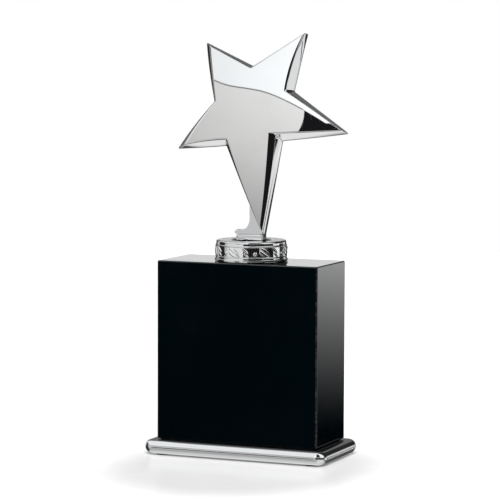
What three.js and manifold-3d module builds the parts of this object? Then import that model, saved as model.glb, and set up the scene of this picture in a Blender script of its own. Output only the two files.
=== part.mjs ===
// Award: a domed metal star on a round collar, on a black crystal block, on a round-edged tray.
// Millimetres, +Z up, the front faces -Y. The origin is on the ground under the middle of the tray.
import * as THREE from 'three';
import { mergeVertices } from 'three/addons/utils/BufferGeometryUtils.js';
import Module from 'manifold-3d';

const wasm = await Module();
wasm.setup();

// ---- Driving dimensions ----------------------------------------------------------------------

// Crystal block
const blockWidth = 101.4;
const blockDepth = 44.8;
const blockHeight = 106;
const blockBevel = 0.6;

// Tray under the block: its thickness is what lies in its recess plus the floor above it
const trayFloor = 1.44;
const trayMargin = 6.7;
const trayCornerRadius = 6;
const trayEdgeFlat = 0.3;
const nutRecessDiameter = 26;

// Feet and the felt between them
const footDiameter = 8.2;
const footShowing = 0.8;
const footSocketDepth = 1.4;
const footLandX = 1.95;
const footLandY = 0.75;
const feltThickness = 1;
const feltToFoot = 3;
const feltToEdge = 8.9;
const feltCornerRadius = 4;

// Thin sheets that keep metal off the crystal
const sheetThickness = 0.3;
const sheetInset = 1.5;

// Tie rod and its fasteners (M5)
const rodDiameter = 5;
const rodPitch = 0.8;
const rodThreadDepth = 0.45;
const rodThreadedTurns = 8;
const rodChamfer = 0.6;
const washerDiameter = 12;
const washerThickness = 1;
const springWasherDiameter = 9;
const springWasherThickness = 1.2;
const springWasherGap = 1.2;
const nutAcrossFlats = 8;
const nutThickness = 2.7;
const rodPastNut = 0.6;

// Collar
const collarDiameter = 42.9;
const collarHeight = 12;
const collarTopInset = 1;
const collarShoulderRadius = 2.2;
const collarWall = 3.2;
const collarRoof = 5.5;
const collarBossWall = 1.1;
const collarDraft = 0.5;
const collarTopRim = 3.3;
const bandBottom = 2.1;
const bandRecess = 0.5;
const grooveWidth = 0.5;
const grooveDepth = 0.3;
const softEdge = 0.35;
const leafCount = 7;
const leafLength = 9.6;
const leafWidth = 3.6;
const leafletLength = 5.6;
const leafletWidth = 1.5;
const leafTilt = 34;
const leafRelief = 0.5;
const berryDiameter = 1.8;

// Star: its foot, its web and its attitude
const plinthLand = 0.6;
const plinthOverhang = 0.7;
const plinthThickness = 3.2;
const plinthBevel = 0.4;
const spigotDiameter = 9.6;
const spigotLength = 8;
const spigotRoof = 1;
const webThickness = 4.4;
const webHeight = 21;
const webLeft = 0.7;
const webFilletRadius = 6;
const webToeOverhang = 1.6;
const webToeRadius = 1.3;
const pinDiameter = 2;
const pinLength = 5;
const pinLand = 0.25;
const starYaw = 11;
const starLean = 10;

// Star body. The rim is the outline of its front face, the heel is the outline of its back face.
// Both lie in the star's own plane: x to the star's right, y up the star from the top of the collar.
// The points run round the star. Bow is how far the middle of the side that follows a point
// stands out from a straight line, on the rim and on the heel.
const starThickness = 11.2;
const starFrontReach = 7;
const domeRise = 2.2;
const domeHalfWidth = 56;
const domeHalfHeight = 92;
const domeCentreHeight = 78;
const tipRadius = 0.7;
const notchRadius = 1;
const wallFlare = 2.4;
const starPoints = [
  { name: 'upper right tip', at: [28.6, 121.6], heel: [0.3, 1.4], bow: [0, 0], radius: tipRadius },
  { name: 'top notch', at: [-2.4, 101], heel: [-0.3, wallFlare], bow: [0, 0], radius: notchRadius },
  { name: 'upper left tip', at: [-28.4, 114.2], heel: [-4.6, 3.6], bow: [0.3, 0.6], radius: tipRadius },
  { name: 'left notch', at: [-23.6, 80.8], heel: [-wallFlare, 0.9], bow: [0.8, 0.8], radius: notchRadius },
  { name: 'left tip', at: [-41.7, 54.4], heel: [-6.4, -0.9], bow: [-0.6, 0.3], radius: tipRadius },
  { name: 'lower left notch', at: [-15.9, 57.9], heel: [-2, -2.6], bow: [0.7, 0.3], radius: notchRadius },
  { name: 'leg end', at: [7.6, 3.6], heel: [0.3, -2.2], bow: [0.6, 0.1], radius: tipRadius },
  { name: 'lower right notch', at: [14, 61.4], heel: [2.5, -2.8], bow: [0, 0.2], radius: notchRadius },
  { name: 'right tip', at: [53.4, 64.2], heel: [2.2, -0.6], bow: [0.2, 0], radius: tipRadius },
  { name: 'right notch', at: [19.2, 87.5], heel: [3, 1.8], bow: [-1.2, 0], radius: notchRadius },
];

// Clearances
const seatGap = 0.02;
const spigotClearance = 0.25;
const rodClearance = 1.5;
const threadClearance = 0.1;
const pinClearance = 0.1;
const pinEndClearance = 0.3;
const footClearance = 0.1;
const feltClearance = 0.3;
const rodFeltClearance = 0.2;

// ---- Heights and places that follow ----------------------------------------------------------

const nutStack = washerThickness + springWasherThickness + nutThickness + rodPastNut + 3 * seatGap;
const trayThickness = feltThickness + rodFeltClearance + nutStack + trayFloor;
const trayBottom = footShowing;
const trayTop = trayBottom + trayThickness;
const blockBottom = trayTop + sheetThickness + 2 * seatGap;
const blockTop = blockBottom + blockHeight;
const collarBottom = blockTop + sheetThickness + 2 * seatGap;
const collarTop = collarBottom + collarHeight;
const plinthBottom = collarTop + seatGap;
const spigotBottom = plinthBottom - spigotLength;
const pinOffset = spigotDiameter / 2 + spigotClearance + pinLand + pinClearance + pinDiameter / 2;
const plinthWidth = 2 * (pinOffset + pinDiameter / 2 + plinthLand);
const plinthDepth = spigotDiameter + 2 * plinthOverhang;
const trayWidth = blockWidth + 2 * trayMargin;
const trayDepth = blockDepth + 2 * trayMargin;
const trayEdgeRadius = (trayThickness - trayEdgeFlat) / 2;
const footX = trayWidth / 2 - trayEdgeRadius - footLandX - footDiameter / 2;
const footY = trayDepth / 2 - trayEdgeRadius - footLandY - footDiameter / 2;
const rodHoleDiameter = rodDiameter + 2 * rodClearance;
const recessCeiling = trayTop - trayFloor;

// ---- Geometry helpers ------------------------------------------------------------------------

function toSolid(geometry) {
  const bare = geometry.clone();
  bare.deleteAttribute('normal');
  bare.deleteAttribute('uv');
  const merged = mergeVertices(bare, 1e-4);
  const vertProperties = new Float32Array(merged.attributes.position.array);
  const triVerts = new Uint32Array(merged.index.array);
  return new wasm.Manifold(new wasm.Mesh({ numProp: 3, vertProperties, triVerts }));
}

function toGeometry(solid) {
  const mesh = solid.getMesh();
  const geometry = new THREE.BufferGeometry();
  const positions = new Float32Array(mesh.vertProperties);
  geometry.setAttribute('position', new THREE.BufferAttribute(positions, 3));
  geometry.setIndex(new THREE.BufferAttribute(new Uint32Array(mesh.triVerts), 1));
  return geometry;
}

function join(...geometries) {
  const [first, ...others] = geometries.map(toSolid);
  return toGeometry(others.reduce((whole, next) => whole.add(next), first));
}

function cut(geometry, ...tools) {
  return toGeometry(tools.map(toSolid).reduce((whole, tool) => whole.subtract(tool), toSolid(geometry)));
}

// An upright cylinder between two heights.
function cylinder(diameter, bottom, top, segments = 48) {
  const geometry = new THREE.CylinderGeometry(diameter / 2, diameter / 2, top - bottom, segments);
  geometry.rotateX(Math.PI / 2);
  geometry.translate(0, 0, (bottom + top) / 2);
  return geometry;
}

// A shape turned about the Z axis: the profile is a list of [radius, height].
function turned(profile, segments = 64) {
  const points = profile.map(([radius, height]) => new THREE.Vector2(radius, height));
  const geometry = new THREE.LatheGeometry(points, segments);
  geometry.rotateX(Math.PI / 2);
  return geometry;
}

// A ring with a square section, as a closed turned profile.
function ring(outer, inner, bottom, top, segments = 64) {
  return turned([
    [inner / 2, bottom],
    [outer / 2, bottom],
    [outer / 2, top],
    [inner / 2, top],
    [inner / 2, bottom],
  ], segments);
}

function circlePath(x, y, radius) {
  const path = new THREE.Path();
  path.absarc(x, y, radius, 0, 2 * Math.PI, true);
  return path;
}

function roundedRectangle(width, depth, radius) {
  const shape = new THREE.Shape();
  const x = width / 2 - radius;
  const y = depth / 2 - radius;
  const quarter = Math.PI / 2;
  shape.absarc(x, -y, radius, -quarter, 0, false);
  shape.absarc(x, y, radius, 0, quarter, false);
  shape.absarc(-x, y, radius, quarter, 2 * quarter, false);
  shape.absarc(-x, -y, radius, 2 * quarter, 3 * quarter, false);
  return shape;
}

function bevelledRectangle(width, depth, bevel) {
  const x = width / 2;
  const y = depth / 2;
  return new THREE.Shape([
    new THREE.Vector2(x - bevel, -y),
    new THREE.Vector2(x, -y + bevel),
    new THREE.Vector2(x, y - bevel),
    new THREE.Vector2(x - bevel, y),
    new THREE.Vector2(-x + bevel, y),
    new THREE.Vector2(-x, y - bevel),
    new THREE.Vector2(-x, -y + bevel),
    new THREE.Vector2(-x + bevel, -y),
  ]);
}

// A flat sheet or plate cut from a shape, between two heights.
function plate(shape, bottom, top, curveSegments = 10) {
  const depth = top - bottom;
  const geometry = new THREE.ExtrudeGeometry(shape, { depth, bevelEnabled: false, curveSegments });
  geometry.translate(0, 0, bottom);
  return geometry;
}

const chrome = { color: 0xd4d6d8, roughness: 0.06, metalness: 1 };
const zincPlate = { color: 0xb4b6ba, roughness: 0.32, metalness: 1 };

function addPart(group, name, geometry, look) {
  const mesh = new THREE.Mesh(geometry, new THREE.MeshStandardMaterial(look));
  mesh.name = name;
  group.add(mesh);
  return mesh;
}

// ---- Tray, feet and felt ---------------------------------------------------------------------

function trayGeometry() {
  const body = new THREE.ExtrudeGeometry(roundedRectangle(trayWidth, trayDepth, trayCornerRadius), {
    depth: trayEdgeFlat,
    bevelThickness: trayEdgeRadius,
    bevelSize: trayEdgeRadius,
    bevelOffset: -trayEdgeRadius,
    bevelSegments: 5,
    curveSegments: 6,
  });
  body.translate(0, 0, trayBottom + trayEdgeRadius);
  const below = trayBottom - 1;
  const feltRebate = plate(feltShape(feltClearance), below, trayBottom + feltThickness);
  const nutRecess = cylinder(nutRecessDiameter, below, recessCeiling);
  const rodHole = cylinder(rodHoleDiameter, below, trayTop + 1, 32);
  const sockets = footPlaces().map(({ x, y }) => {
    const socket = cylinder(footDiameter + 2 * footClearance, below, trayBottom + footSocketDepth, 32);
    return socket.translate(x, y, 0);
  });
  return cut(body, feltRebate, nutRecess, rodHole, ...sockets);
}

// The felt stops short of the feet; growth widens the outline for the rebate that holds it.
function feltShape(growth) {
  const width = 2 * (footX - footDiameter / 2 - feltToFoot + growth);
  const depth = trayDepth - 2 * (feltToEdge - growth);
  return roundedRectangle(width, depth, feltCornerRadius + growth);
}

function feltGeometry() {
  return plate(feltShape(0), trayBottom + seatGap, trayBottom + feltThickness - seatGap);
}

function footPlaces() {
  return [
    { name: 'foot_front_left', x: -footX, y: -footY },
    { name: 'foot_front_right', x: footX, y: -footY },
    { name: 'foot_back_left', x: -footX, y: footY },
    { name: 'foot_back_right', x: footX, y: footY },
  ];
}

function footGeometry() {
  const radius = footDiameter / 2;
  const top = trayBottom + footSocketDepth - seatGap;
  return turned([
    [0, 0],
    [radius - softEdge, 0],
    [radius, softEdge],
    [radius, top],
    [0, top],
  ], 32);
}

// ---- Crystal block and the sheets above and below it -----------------------------------------

function blockGeometry() {
  const outline = bevelledRectangle(blockWidth, blockDepth, blockBevel);
  outline.holes.push(circlePath(0, 0, rodHoleDiameter / 2));
  const geometry = new THREE.ExtrudeGeometry(outline, {
    depth: blockHeight - 2 * blockBevel,
    bevelThickness: blockBevel,
    bevelSize: blockBevel,
    bevelOffset: -blockBevel,
    bevelSegments: 1,
    curveSegments: 16,
  });
  geometry.translate(0, 0, blockBottom + blockBevel);
  return geometry;
}

function trayPadGeometry() {
  const shape = roundedRectangle(blockWidth - 2 * sheetInset, blockDepth - 2 * sheetInset, 1);
  shape.holes.push(circlePath(0, 0, rodHoleDiameter / 2));
  const bottom = trayTop + seatGap;
  return plate(shape, bottom, bottom + sheetThickness);
}

function gasketGeometry() {
  const bottom = blockTop + seatGap;
  return ring(collarDiameter - 2 * sheetInset, rodHoleDiameter, bottom, bottom + sheetThickness);
}

// ---- Tie rod and fasteners -------------------------------------------------------------------

const washerTop = recessCeiling - seatGap;
const washerBottom = washerTop - washerThickness;
const springTop = washerBottom - seatGap;
const springBottom = springTop - springWasherThickness;
const nutTop = springBottom - seatGap;
const nutBottom = nutTop - nutThickness;
const rodBottom = nutBottom - rodPastNut;
const rodTop = plinthBottom - spigotRoof;

// The thread is drawn as plain rings at its pitch, at both ends of the rod.
function tieRodGeometry() {
  const crest = rodDiameter / 2;
  const root = crest - rodThreadDepth;
  const threads = (start) => Array.from({ length: rodThreadedTurns }, (_, turn) => [
    [root, start + turn * rodPitch],
    [crest, start + (turn + 0.5) * rodPitch],
  ]).flat();
  const upperStart = rodTop - rodChamfer - rodThreadedTurns * rodPitch;
  return turned([
    [0, rodBottom],
    [root - rodChamfer / 2, rodBottom],
    ...threads(rodBottom + rodChamfer),
    [root, rodBottom + rodChamfer + rodThreadedTurns * rodPitch],
    [crest, rodBottom + rodChamfer + (rodThreadedTurns + 0.5) * rodPitch],
    [crest, upperStart - rodPitch / 2],
    ...threads(upperStart),
    [root, rodTop - rodChamfer],
    [root - rodChamfer / 2, rodTop],
    [0, rodTop],
  ], 16);
}

function washerGeometry() {
  return ring(washerDiameter, rodDiameter + 2 * threadClearance + 0.3, washerBottom, washerTop, 40);
}

// One turn of square wire, cut through so that it can spring.
function springWasherGeometry() {
  const inner = rodDiameter + 2 * threadClearance + 0.1;
  const body = ring(springWasherDiameter, inner, springBottom, springTop, 40);
  const slot = new THREE.BoxGeometry(springWasherDiameter, springWasherGap, 4 * springWasherThickness);
  slot.rotateX(THREE.MathUtils.degToRad(25));
  slot.translate(springWasherDiameter / 2, 0, (springBottom + springTop) / 2);
  return cut(body, slot);
}

function nutGeometry() {
  const corner = nutAcrossFlats / 2 / Math.cos(Math.PI / 6);
  const hexagon = new THREE.Shape(Array.from({ length: 6 }, (_, side) => {
    const angle = side * Math.PI / 3;
    return new THREE.Vector2(corner * Math.cos(angle), corner * Math.sin(angle));
  }));
  hexagon.holes.push(circlePath(0, 0, rodDiameter / 2 + threadClearance));
  return plate(hexagon, nutBottom, nutTop, 16);
}

// ---- Collar ----------------------------------------------------------------------------------

const rimRadius = collarDiameter / 2;
const bandRadius = rimRadius - bandRecess;
const topRadius = rimRadius - collarTopInset;
const bandTop = collarHeight - collarTopRim;
const bandHeight = bandTop - bandBottom;
const pinBoreDiameter = pinDiameter + 2 * pinClearance;
const pinBoreDepth = pinLength / 2 + pinEndClearance;

function collarProfile() {
  const spigotBore = spigotDiameter / 2 + spigotClearance;
  const bossRadius = pinOffset + pinDiameter / 2 + collarBossWall;
  const hollowTop = collarHeight - collarRoof;
  const hollowRadius = rimRadius - collarWall;
  const shoulderSteps = 6;
  const shoulder = Array.from({ length: shoulderSteps + 1 }, (_, step) => {
    const angle = step / shoulderSteps * Math.PI / 2;
    const radius = topRadius - collarShoulderRadius * (1 - Math.cos(angle));
    return [radius, collarHeight - collarShoulderRadius * (1 - Math.sin(angle))];
  });
  return [
    [spigotBore, 0],
    [bossRadius, 0],
    [bossRadius + collarDraft, hollowTop],
    [hollowRadius - collarDraft, hollowTop],
    [hollowRadius, 0],
    [rimRadius - softEdge, 0],
    [rimRadius, softEdge],
    [rimRadius, bandBottom - grooveWidth],
    [bandRadius - grooveDepth, bandBottom - grooveWidth / 2],
    [bandRadius, bandBottom],
    [bandRadius, bandTop],
    [bandRadius - grooveDepth, bandTop + grooveWidth / 2],
    [topRadius, bandTop + grooveWidth],
    ...shoulder,
    [spigotBore, collarHeight],
    [spigotBore, 0],
  ];
}

// Bends a flat relief, drawn with x along the band and y up it, round the collar.
function wrapOnBand(geometry) {
  const position = geometry.attributes.position;
  const point = new THREE.Vector3();
  for (let index = 0; index < position.count; index += 1) {
    point.fromBufferAttribute(position, index);
    const angle = point.x / bandRadius;
    const radius = bandRadius + point.z;
    position.setXYZ(index, radius * Math.sin(angle), -radius * Math.cos(angle), point.y);
  }
  return geometry;
}

function relief(length, width, height, tilt, along, up) {
  const geometry = new THREE.SphereGeometry(1, 10, 6);
  geometry.scale(length / 2, width / 2, height);
  geometry.rotateZ(THREE.MathUtils.degToRad(tilt));
  geometry.translate(along, up, 0);
  return wrapOnBand(geometry);
}

// Laurel band: a broad leaf, a narrow leaflet and a berry, repeated round the collar.
function collarGeometry() {
  const repeat = 2 * Math.PI * bandRadius / leafCount;
  const middle = bandBottom + bandHeight / 2;
  const reliefs = Array.from({ length: leafCount }, (_, leaf) => {
    const along = (leaf + 0.4) * repeat;
    return [
      relief(leafLength, leafWidth, leafRelief, -leafTilt, along, middle),
      relief(leafletLength, leafletWidth, leafRelief * 0.8, -leafTilt, along + repeat * 0.36, middle + 0.5),
      relief(berryDiameter, berryDiameter, leafRelief, 0, along + repeat * 0.55, middle - 1.7),
    ];
  }).flat();
  const pinHole = cylinder(pinBoreDiameter, collarHeight - pinBoreDepth, collarHeight + 1, 20);
  pinHole.translate(...pinPlace(), 0);
  const geometry = cut(join(turned(collarProfile(), 64), ...reliefs), pinHole);
  geometry.translate(0, 0, collarBottom);
  return geometry;
}

function pinPlace() {
  const yaw = THREE.MathUtils.degToRad(starYaw);
  return [pinOffset * Math.cos(yaw), pinOffset * Math.sin(yaw)];
}

function pinGeometry() {
  const geometry = cylinder(pinDiameter, collarTop - pinLength / 2, collarTop + pinLength / 2, 20);
  geometry.translate(...pinPlace(), 0);
  return geometry;
}

// ---- Star ------------------------------------------------------------------------------------

// One of the star's outlines: rounded at each corner, with equal steps along each bowed side.
function starOutline(pickPlace, pickBow) {
  const cornerSteps = 3;
  const sideSteps = 6;
  const towards = (from, to, distance) => from.clone().add(to.clone().sub(from).setLength(distance));
  return starPoints.flatMap((point, index) => {
    const previous = starPoints.at(index - 1);
    const next = starPoints[(index + 1) % starPoints.length];
    const [here, before, after] = [point, previous, next].map(pickPlace);
    const entry = towards(here, before, point.radius);
    const exit = towards(here, after, point.radius);
    const end = towards(after, here, next.radius);
    const outward = new THREE.Vector2(after.y - here.y, here.x - after.x).normalize();
    const crown = exit.clone().lerp(end, 0.5).addScaledVector(outward, 2 * pickBow(point));
    const corner = new THREE.QuadraticBezierCurve(entry, here, exit).getPoints(cornerSteps);
    const side = new THREE.QuadraticBezierCurve(exit, crown, end).getPoints(sideSteps);
    return [...corner, ...side.slice(1, -1)];
  });
}

const rimPlace = ({ at }) => new THREE.Vector2(...at);
const heelPlace = ({ at, heel }) => new THREE.Vector2(...at).add(new THREE.Vector2(...heel));

// A closed solid between two outlines of the same number of points, at two depths.
function loft(backOutline, backDepth, frontOutline, frontDepth) {
  const count = backOutline.length;
  const positions = [
    ...backOutline.flatMap((point) => [point.x, point.y, backDepth]),
    ...frontOutline.flatMap((point) => [point.x, point.y, frontDepth]),
  ];
  const faces = [];
  backOutline.forEach((_, index) => {
    const next = (index + 1) % count;
    faces.push(index, next, count + next);
    faces.push(index, count + next, count + index);
  });
  THREE.ShapeUtils.triangulateShape(backOutline, []).forEach(([a, b, c]) => faces.push(a, c, b));
  THREE.ShapeUtils.triangulateShape(frontOutline, []).forEach(([a, b, c]) => {
    faces.push(count + a, count + b, count + c);
  });
  const geometry = new THREE.BufferGeometry();
  geometry.setAttribute('position', new THREE.Float32BufferAttribute(positions, 3));
  geometry.setIndex(faces);
  return geometry;
}

// The bulging lens that trims the front of the star: deepest in the middle, level with the rim at its edge.
function domeGeometry() {
  const rings = 9;
  const reach = 1.15;
  const back = starFrontReach - starThickness - 5;
  const crown = Array.from({ length: rings + 1 }, (_, step) => {
    const radius = reach * (1 - step / rings);
    return [radius, starFrontReach + domeRise * (1 - radius * radius)];
  });
  const geometry = turned([[0, back], [reach, back], ...crown], 72);
  geometry.scale(domeHalfWidth, domeHalfHeight, 1);
  geometry.translate(0, domeCentreHeight, 0);
  return geometry;
}

function starBodyGeometry() {
  const rim = starOutline(rimPlace, ({ bow }) => bow[0]);
  const heel = starOutline(heelPlace, ({ bow }) => bow[1]);
  // The walls run on past the rim by the dome's rise, still at their slope.
  const overrun = domeRise / starThickness;
  const crest = rim.map((point, index) => point.clone().lerp(heel[index], -overrun));
  const heelDepth = starFrontReach - starThickness;
  const walls = loft(heel, heelDepth, crest, starFrontReach + domeRise);
  const body = toGeometry(toSolid(walls).intersect(toSolid(domeGeometry())));
  // From the star's plane to the award: y up, depth towards the front, then lean back and turn.
  body.rotateX(Math.PI / 2);
  body.rotateX(-THREE.MathUtils.degToRad(starLean));
  return body;
}

// The web behind the leg, which spreads into a small toe on the foot plate.
function webGeometry() {
  const toeTop = plinthThickness + 2 * webToeRadius;
  const shape = new THREE.Shape();
  shape.moveTo(plinthWidth / 2 - 1, plinthThickness - 1);
  shape.lineTo(plinthWidth / 2 - 1, plinthThickness + 3);
  shape.lineTo(3, webHeight);
  shape.lineTo(-webLeft, webHeight);
  const filletX = -webLeft - webFilletRadius;
  shape.absarc(filletX, toeTop + webFilletRadius, webFilletRadius, 0, -Math.PI / 2, true);
  const toeX = -plinthWidth / 2 - webToeOverhang + webToeRadius;
  const toeY = plinthThickness + webToeRadius;
  shape.absarc(toeX, toeY, webToeRadius, Math.PI / 2, 3 * Math.PI / 2, false);
  shape.lineTo(-plinthWidth / 2 + 1, plinthThickness - 1);
  const geometry = new THREE.ExtrudeGeometry(shape, {
    depth: webThickness,
    bevelEnabled: false,
    curveSegments: 8,
  });
  geometry.translate(0, 0, -webThickness / 2);
  geometry.rotateX(Math.PI / 2);
  return geometry;
}

function plinthGeometry() {
  const geometry = new THREE.ExtrudeGeometry(bevelledRectangle(plinthWidth, plinthDepth, plinthBevel), {
    depth: plinthThickness - plinthBevel,
    bevelThickness: plinthBevel,
    bevelSize: plinthBevel,
    bevelOffset: -plinthBevel,
    bevelSegments: 2,
  });
  return cut(geometry, cylinder(60, -5, 0, 8));
}

function starGeometry() {
  const spigot = cylinder(spigotDiameter, -spigotLength, plinthThickness / 2, 40);
  const whole = join(plinthGeometry(), webGeometry(), spigot, starBodyGeometry());
  const rodBore = cylinder(rodDiameter + 2 * threadClearance, -spigotLength - 1, 0, 24);
  const pinBore = cylinder(pinBoreDiameter, -1, pinBoreDepth, 20);
  pinBore.translate(pinOffset, 0, 0);
  const geometry = cut(whole, rodBore, pinBore);
  geometry.rotateZ(THREE.MathUtils.degToRad(starYaw));
  geometry.translate(0, 0, plinthBottom);
  return geometry;
}

// ---- Assembly --------------------------------------------------------------------------------

const award = new THREE.Group();

footPlaces().forEach(({ name, x, y }) => {
  const foot = addPart(award, name, footGeometry(), { color: 0x1c1c1e, roughness: 0.7, metalness: 0 });
  foot.position.set(x, y, 0);
});
addPart(award, 'base_felt', feltGeometry(), { color: 0x161617, roughness: 0.95, metalness: 0 });
addPart(award, 'base_tray', trayGeometry(), chrome);
addPart(award, 'tray_pad', trayPadGeometry(), { color: 0x202124, roughness: 0.8, metalness: 0 });
addPart(award, 'crystal_block', blockGeometry(), { color: 0x020405, roughness: 0.03, metalness: 0 });
addPart(award, 'collar_gasket', gasketGeometry(), { color: 0x202124, roughness: 0.8, metalness: 0 });
addPart(award, 'collar', collarGeometry(), chrome);
addPart(award, 'locating_pin', pinGeometry(), zincPlate);
addPart(award, 'star_casting', starGeometry(), chrome);
addPart(award, 'tie_rod', tieRodGeometry(), zincPlate);
addPart(award, 'flat_washer', washerGeometry(), zincPlate);
addPart(award, 'spring_washer', springWasherGeometry(), zincPlate);
addPart(award, 'jam_nut', nutGeometry(), zincPlate);

export default award;
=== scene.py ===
# %% [markdown]
# # A crystal award, piece by piece
# This lesson builds the looks of a trophy: a domed chrome star on a chrome collar, on a block of
# black crystal, on a round-edged chrome tray. The model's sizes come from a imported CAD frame. Here
# we lay finer surfaces over it, give each a finish, and light it on a white sweep. Four pieces are
# made anew, because their curves carry the looks. The other twelve stay as they come.

import bmesh
import bpy
import numpy as np
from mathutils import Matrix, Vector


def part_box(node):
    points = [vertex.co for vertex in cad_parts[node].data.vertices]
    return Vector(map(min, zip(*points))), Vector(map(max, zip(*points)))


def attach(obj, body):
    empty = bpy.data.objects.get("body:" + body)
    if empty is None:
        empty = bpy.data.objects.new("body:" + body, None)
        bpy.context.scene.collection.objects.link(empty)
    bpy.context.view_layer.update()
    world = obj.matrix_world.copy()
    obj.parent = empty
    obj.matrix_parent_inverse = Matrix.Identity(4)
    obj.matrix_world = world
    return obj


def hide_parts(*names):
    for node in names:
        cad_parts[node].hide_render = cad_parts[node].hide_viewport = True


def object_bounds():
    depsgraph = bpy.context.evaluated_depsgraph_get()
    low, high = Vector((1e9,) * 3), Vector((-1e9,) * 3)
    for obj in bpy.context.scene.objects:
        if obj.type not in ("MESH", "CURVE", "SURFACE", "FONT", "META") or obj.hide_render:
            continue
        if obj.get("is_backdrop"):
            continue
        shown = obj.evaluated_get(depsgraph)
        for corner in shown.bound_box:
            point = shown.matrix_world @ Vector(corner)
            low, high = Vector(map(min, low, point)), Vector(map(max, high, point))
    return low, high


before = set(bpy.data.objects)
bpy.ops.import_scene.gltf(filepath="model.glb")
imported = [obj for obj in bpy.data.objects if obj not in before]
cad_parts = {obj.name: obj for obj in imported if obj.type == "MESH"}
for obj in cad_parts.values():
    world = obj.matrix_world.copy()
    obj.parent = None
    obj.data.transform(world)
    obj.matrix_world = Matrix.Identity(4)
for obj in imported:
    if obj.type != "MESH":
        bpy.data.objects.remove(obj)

cad_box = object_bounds()
print("nodes:", sorted(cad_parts))
print("box in mm:", [[round(1000 * value, 2) for value in corner] for corner in cad_box])

# %% [markdown]
# ## Lengths
# Blender works in metres and a workshop drawing in millimetres. Every shape below is written in
# millimetres and is scaled once, when it becomes a mesh. The heights come from the frame, so the
# fine pieces sit exactly where the solid ones do.

# %% Heights and sizes from the frame
MM = 0.001


def box_mm(node):
    """Lowest and highest corner of a frame node, as two arrays in millimetres."""
    low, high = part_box(node)
    return np.array(low) / MM, np.array(high) / MM


tray_low, tray_high = box_mm("base_tray")
block_low, block_high = box_mm("crystal_block")
collar_low, collar_high = box_mm("collar")
star_low, star_high = box_mm("star_casting")
print("tray", tray_low, tray_high)
print("block", block_low, block_high)
print("collar", collar_low, collar_high)
print("star", star_low, star_high)

# %% [markdown]
# ## The camera
# A long lens, far away, keeps the uprights almost parallel. A short lens close by would show more of
# the top, but it would make the block look like a wedge. The camera stands a little above the award
# and to its right, so the right side of the block shows as a narrow strip. Its axes are worked out
# from three angles: how far it is turned, how far it dips and a very small roll.

# %% Camera
turn = np.radians(23.105)
dip = np.radians(5.103)
roll = np.radians(0.187)
ahead = np.array([-np.sin(turn) * np.cos(dip), np.cos(turn) * np.cos(dip), -np.sin(dip)])
level = np.array([np.cos(turn), np.sin(turn), 0.0])
upright = np.cross(level, ahead)
right = np.cos(roll) * level + np.sin(roll) * upright
up = np.cos(roll) * upright - np.sin(roll) * level

camera_data = bpy.data.cameras.new("camera")
camera_data.lens = 182.7
camera_data.sensor_width = 36.0
camera_data.clip_start = 0.05
camera_data.clip_end = 50.0
camera = bpy.data.objects.new("camera", camera_data)
bpy.context.scene.collection.objects.link(camera)
camera.rotation_mode = "QUATERNION"
import mathutils

turned_axes = mathutils.Matrix((right, up, -ahead)).transposed()
camera.rotation_quaternion = turned_axes.to_quaternion()
camera.location = (0.5835, -1.36964, 0.25442)
bpy.context.scene.camera = camera
print("camera at", tuple(round(value, 3) for value in camera.location))

# %% [markdown]
# ## From rings to a mesh
# Almost every piece here is a stack of rings: closed lines with the same number of points, joined
# row to row with four-sided faces. A lathe makes such a stack, and so does a caster's pattern: the
# rings of the star follow its outline. A stack ends in a pole, one point, or joins back on itself
# like a tyre. Both leave no open edge. Modelling by hand could give the same shapes, but here every
# size stays a number that can be changed.


# %% Ring stacks
def stack_faces(rows, columns, loop):
    """Four corner numbers for each face between neighbouring rings; loop joins last to first."""
    row = np.arange(rows if loop else rows - 1)[:, None] * columns
    following = (row + columns) % (rows * columns)
    here = np.arange(columns)[None, :]
    there = (here + 1) % columns
    faces = np.stack([row + here, row + there, following + there, following + here], axis=-1)
    return faces.reshape(-1, 4)


def stack_mesh(rings, first_pole=None, last_pole=None, loop=False):
    """Points and faces of a stack of rings (rows, columns, 3), closed by poles or as a loop."""
    rows, columns = rings.shape[:2]
    points = [rings.reshape(-1, 3)]
    faces = stack_faces(rows, columns, loop).tolist()
    here = np.arange(columns)
    there = (here + 1) % columns
    if first_pole is not None:
        pole = np.full(columns, rows * columns)
        faces += np.stack([pole, there, here], axis=-1).tolist()
        points.append(np.array([first_pole], float))
    if last_pole is not None:
        count = rows * columns + (first_pole is not None)
        start = (rows - 1) * columns
        pole = np.full(columns, count)
        faces += np.stack([pole, start + here, start + there], axis=-1).tolist()
        points.append(np.array([last_pole], float))
    return np.concatenate(points), faces


print("a stack of 3 rings of 4 points has", len(stack_faces(3, 4, False)), "faces")

# %% [markdown]
# ## From points to an object
# A piece may be several closed shells that run into each other, as cast parts do. Its points are
# put in millimetres times a thousandth, right where they belong on the award, so that the object
# itself stays at the origin. Blender can turn every face of a closed shell outwards by itself, which
# is safer than minding the order of each ring. Numbers that a finish needs travel on the mesh.


# %% From points to an object
def make_piece(name, parts, marks=None):
    """One smooth object from several closed (points, faces) shells in mm. The faces of each shell
    are turned to look outwards. marks are named numbers, one for each point, which stay on the
    mesh for its material to read."""
    points, faces, start = [], [], 0
    for shell_points, shell_faces in parts:
        points.append(shell_points)
        faces += [[start + corner for corner in face] for face in shell_faces]
        start += len(shell_points)
    mesh = bpy.data.meshes.new(name)
    mesh.from_pydata((np.concatenate(points) * MM).tolist(), [], faces)
    mesh.validate()
    shell = bmesh.new()
    shell.from_mesh(mesh)
    bmesh.ops.recalc_face_normals(shell, faces=shell.faces)
    shell.to_mesh(mesh)
    shell.free()
    for mark, values in (marks or {}).items():
        layer = mesh.attributes.new(mark, "FLOAT", "POINT")
        layer.data.foreach_set("value", np.asarray(values, np.float32))
    mesh.shade_smooth()
    piece = bpy.data.objects.new(name, mesh)
    bpy.context.scene.collection.objects.link(piece)
    print(name, "has", len(mesh.vertices), "points and", len(mesh.polygons), "faces")
    return piece

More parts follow.
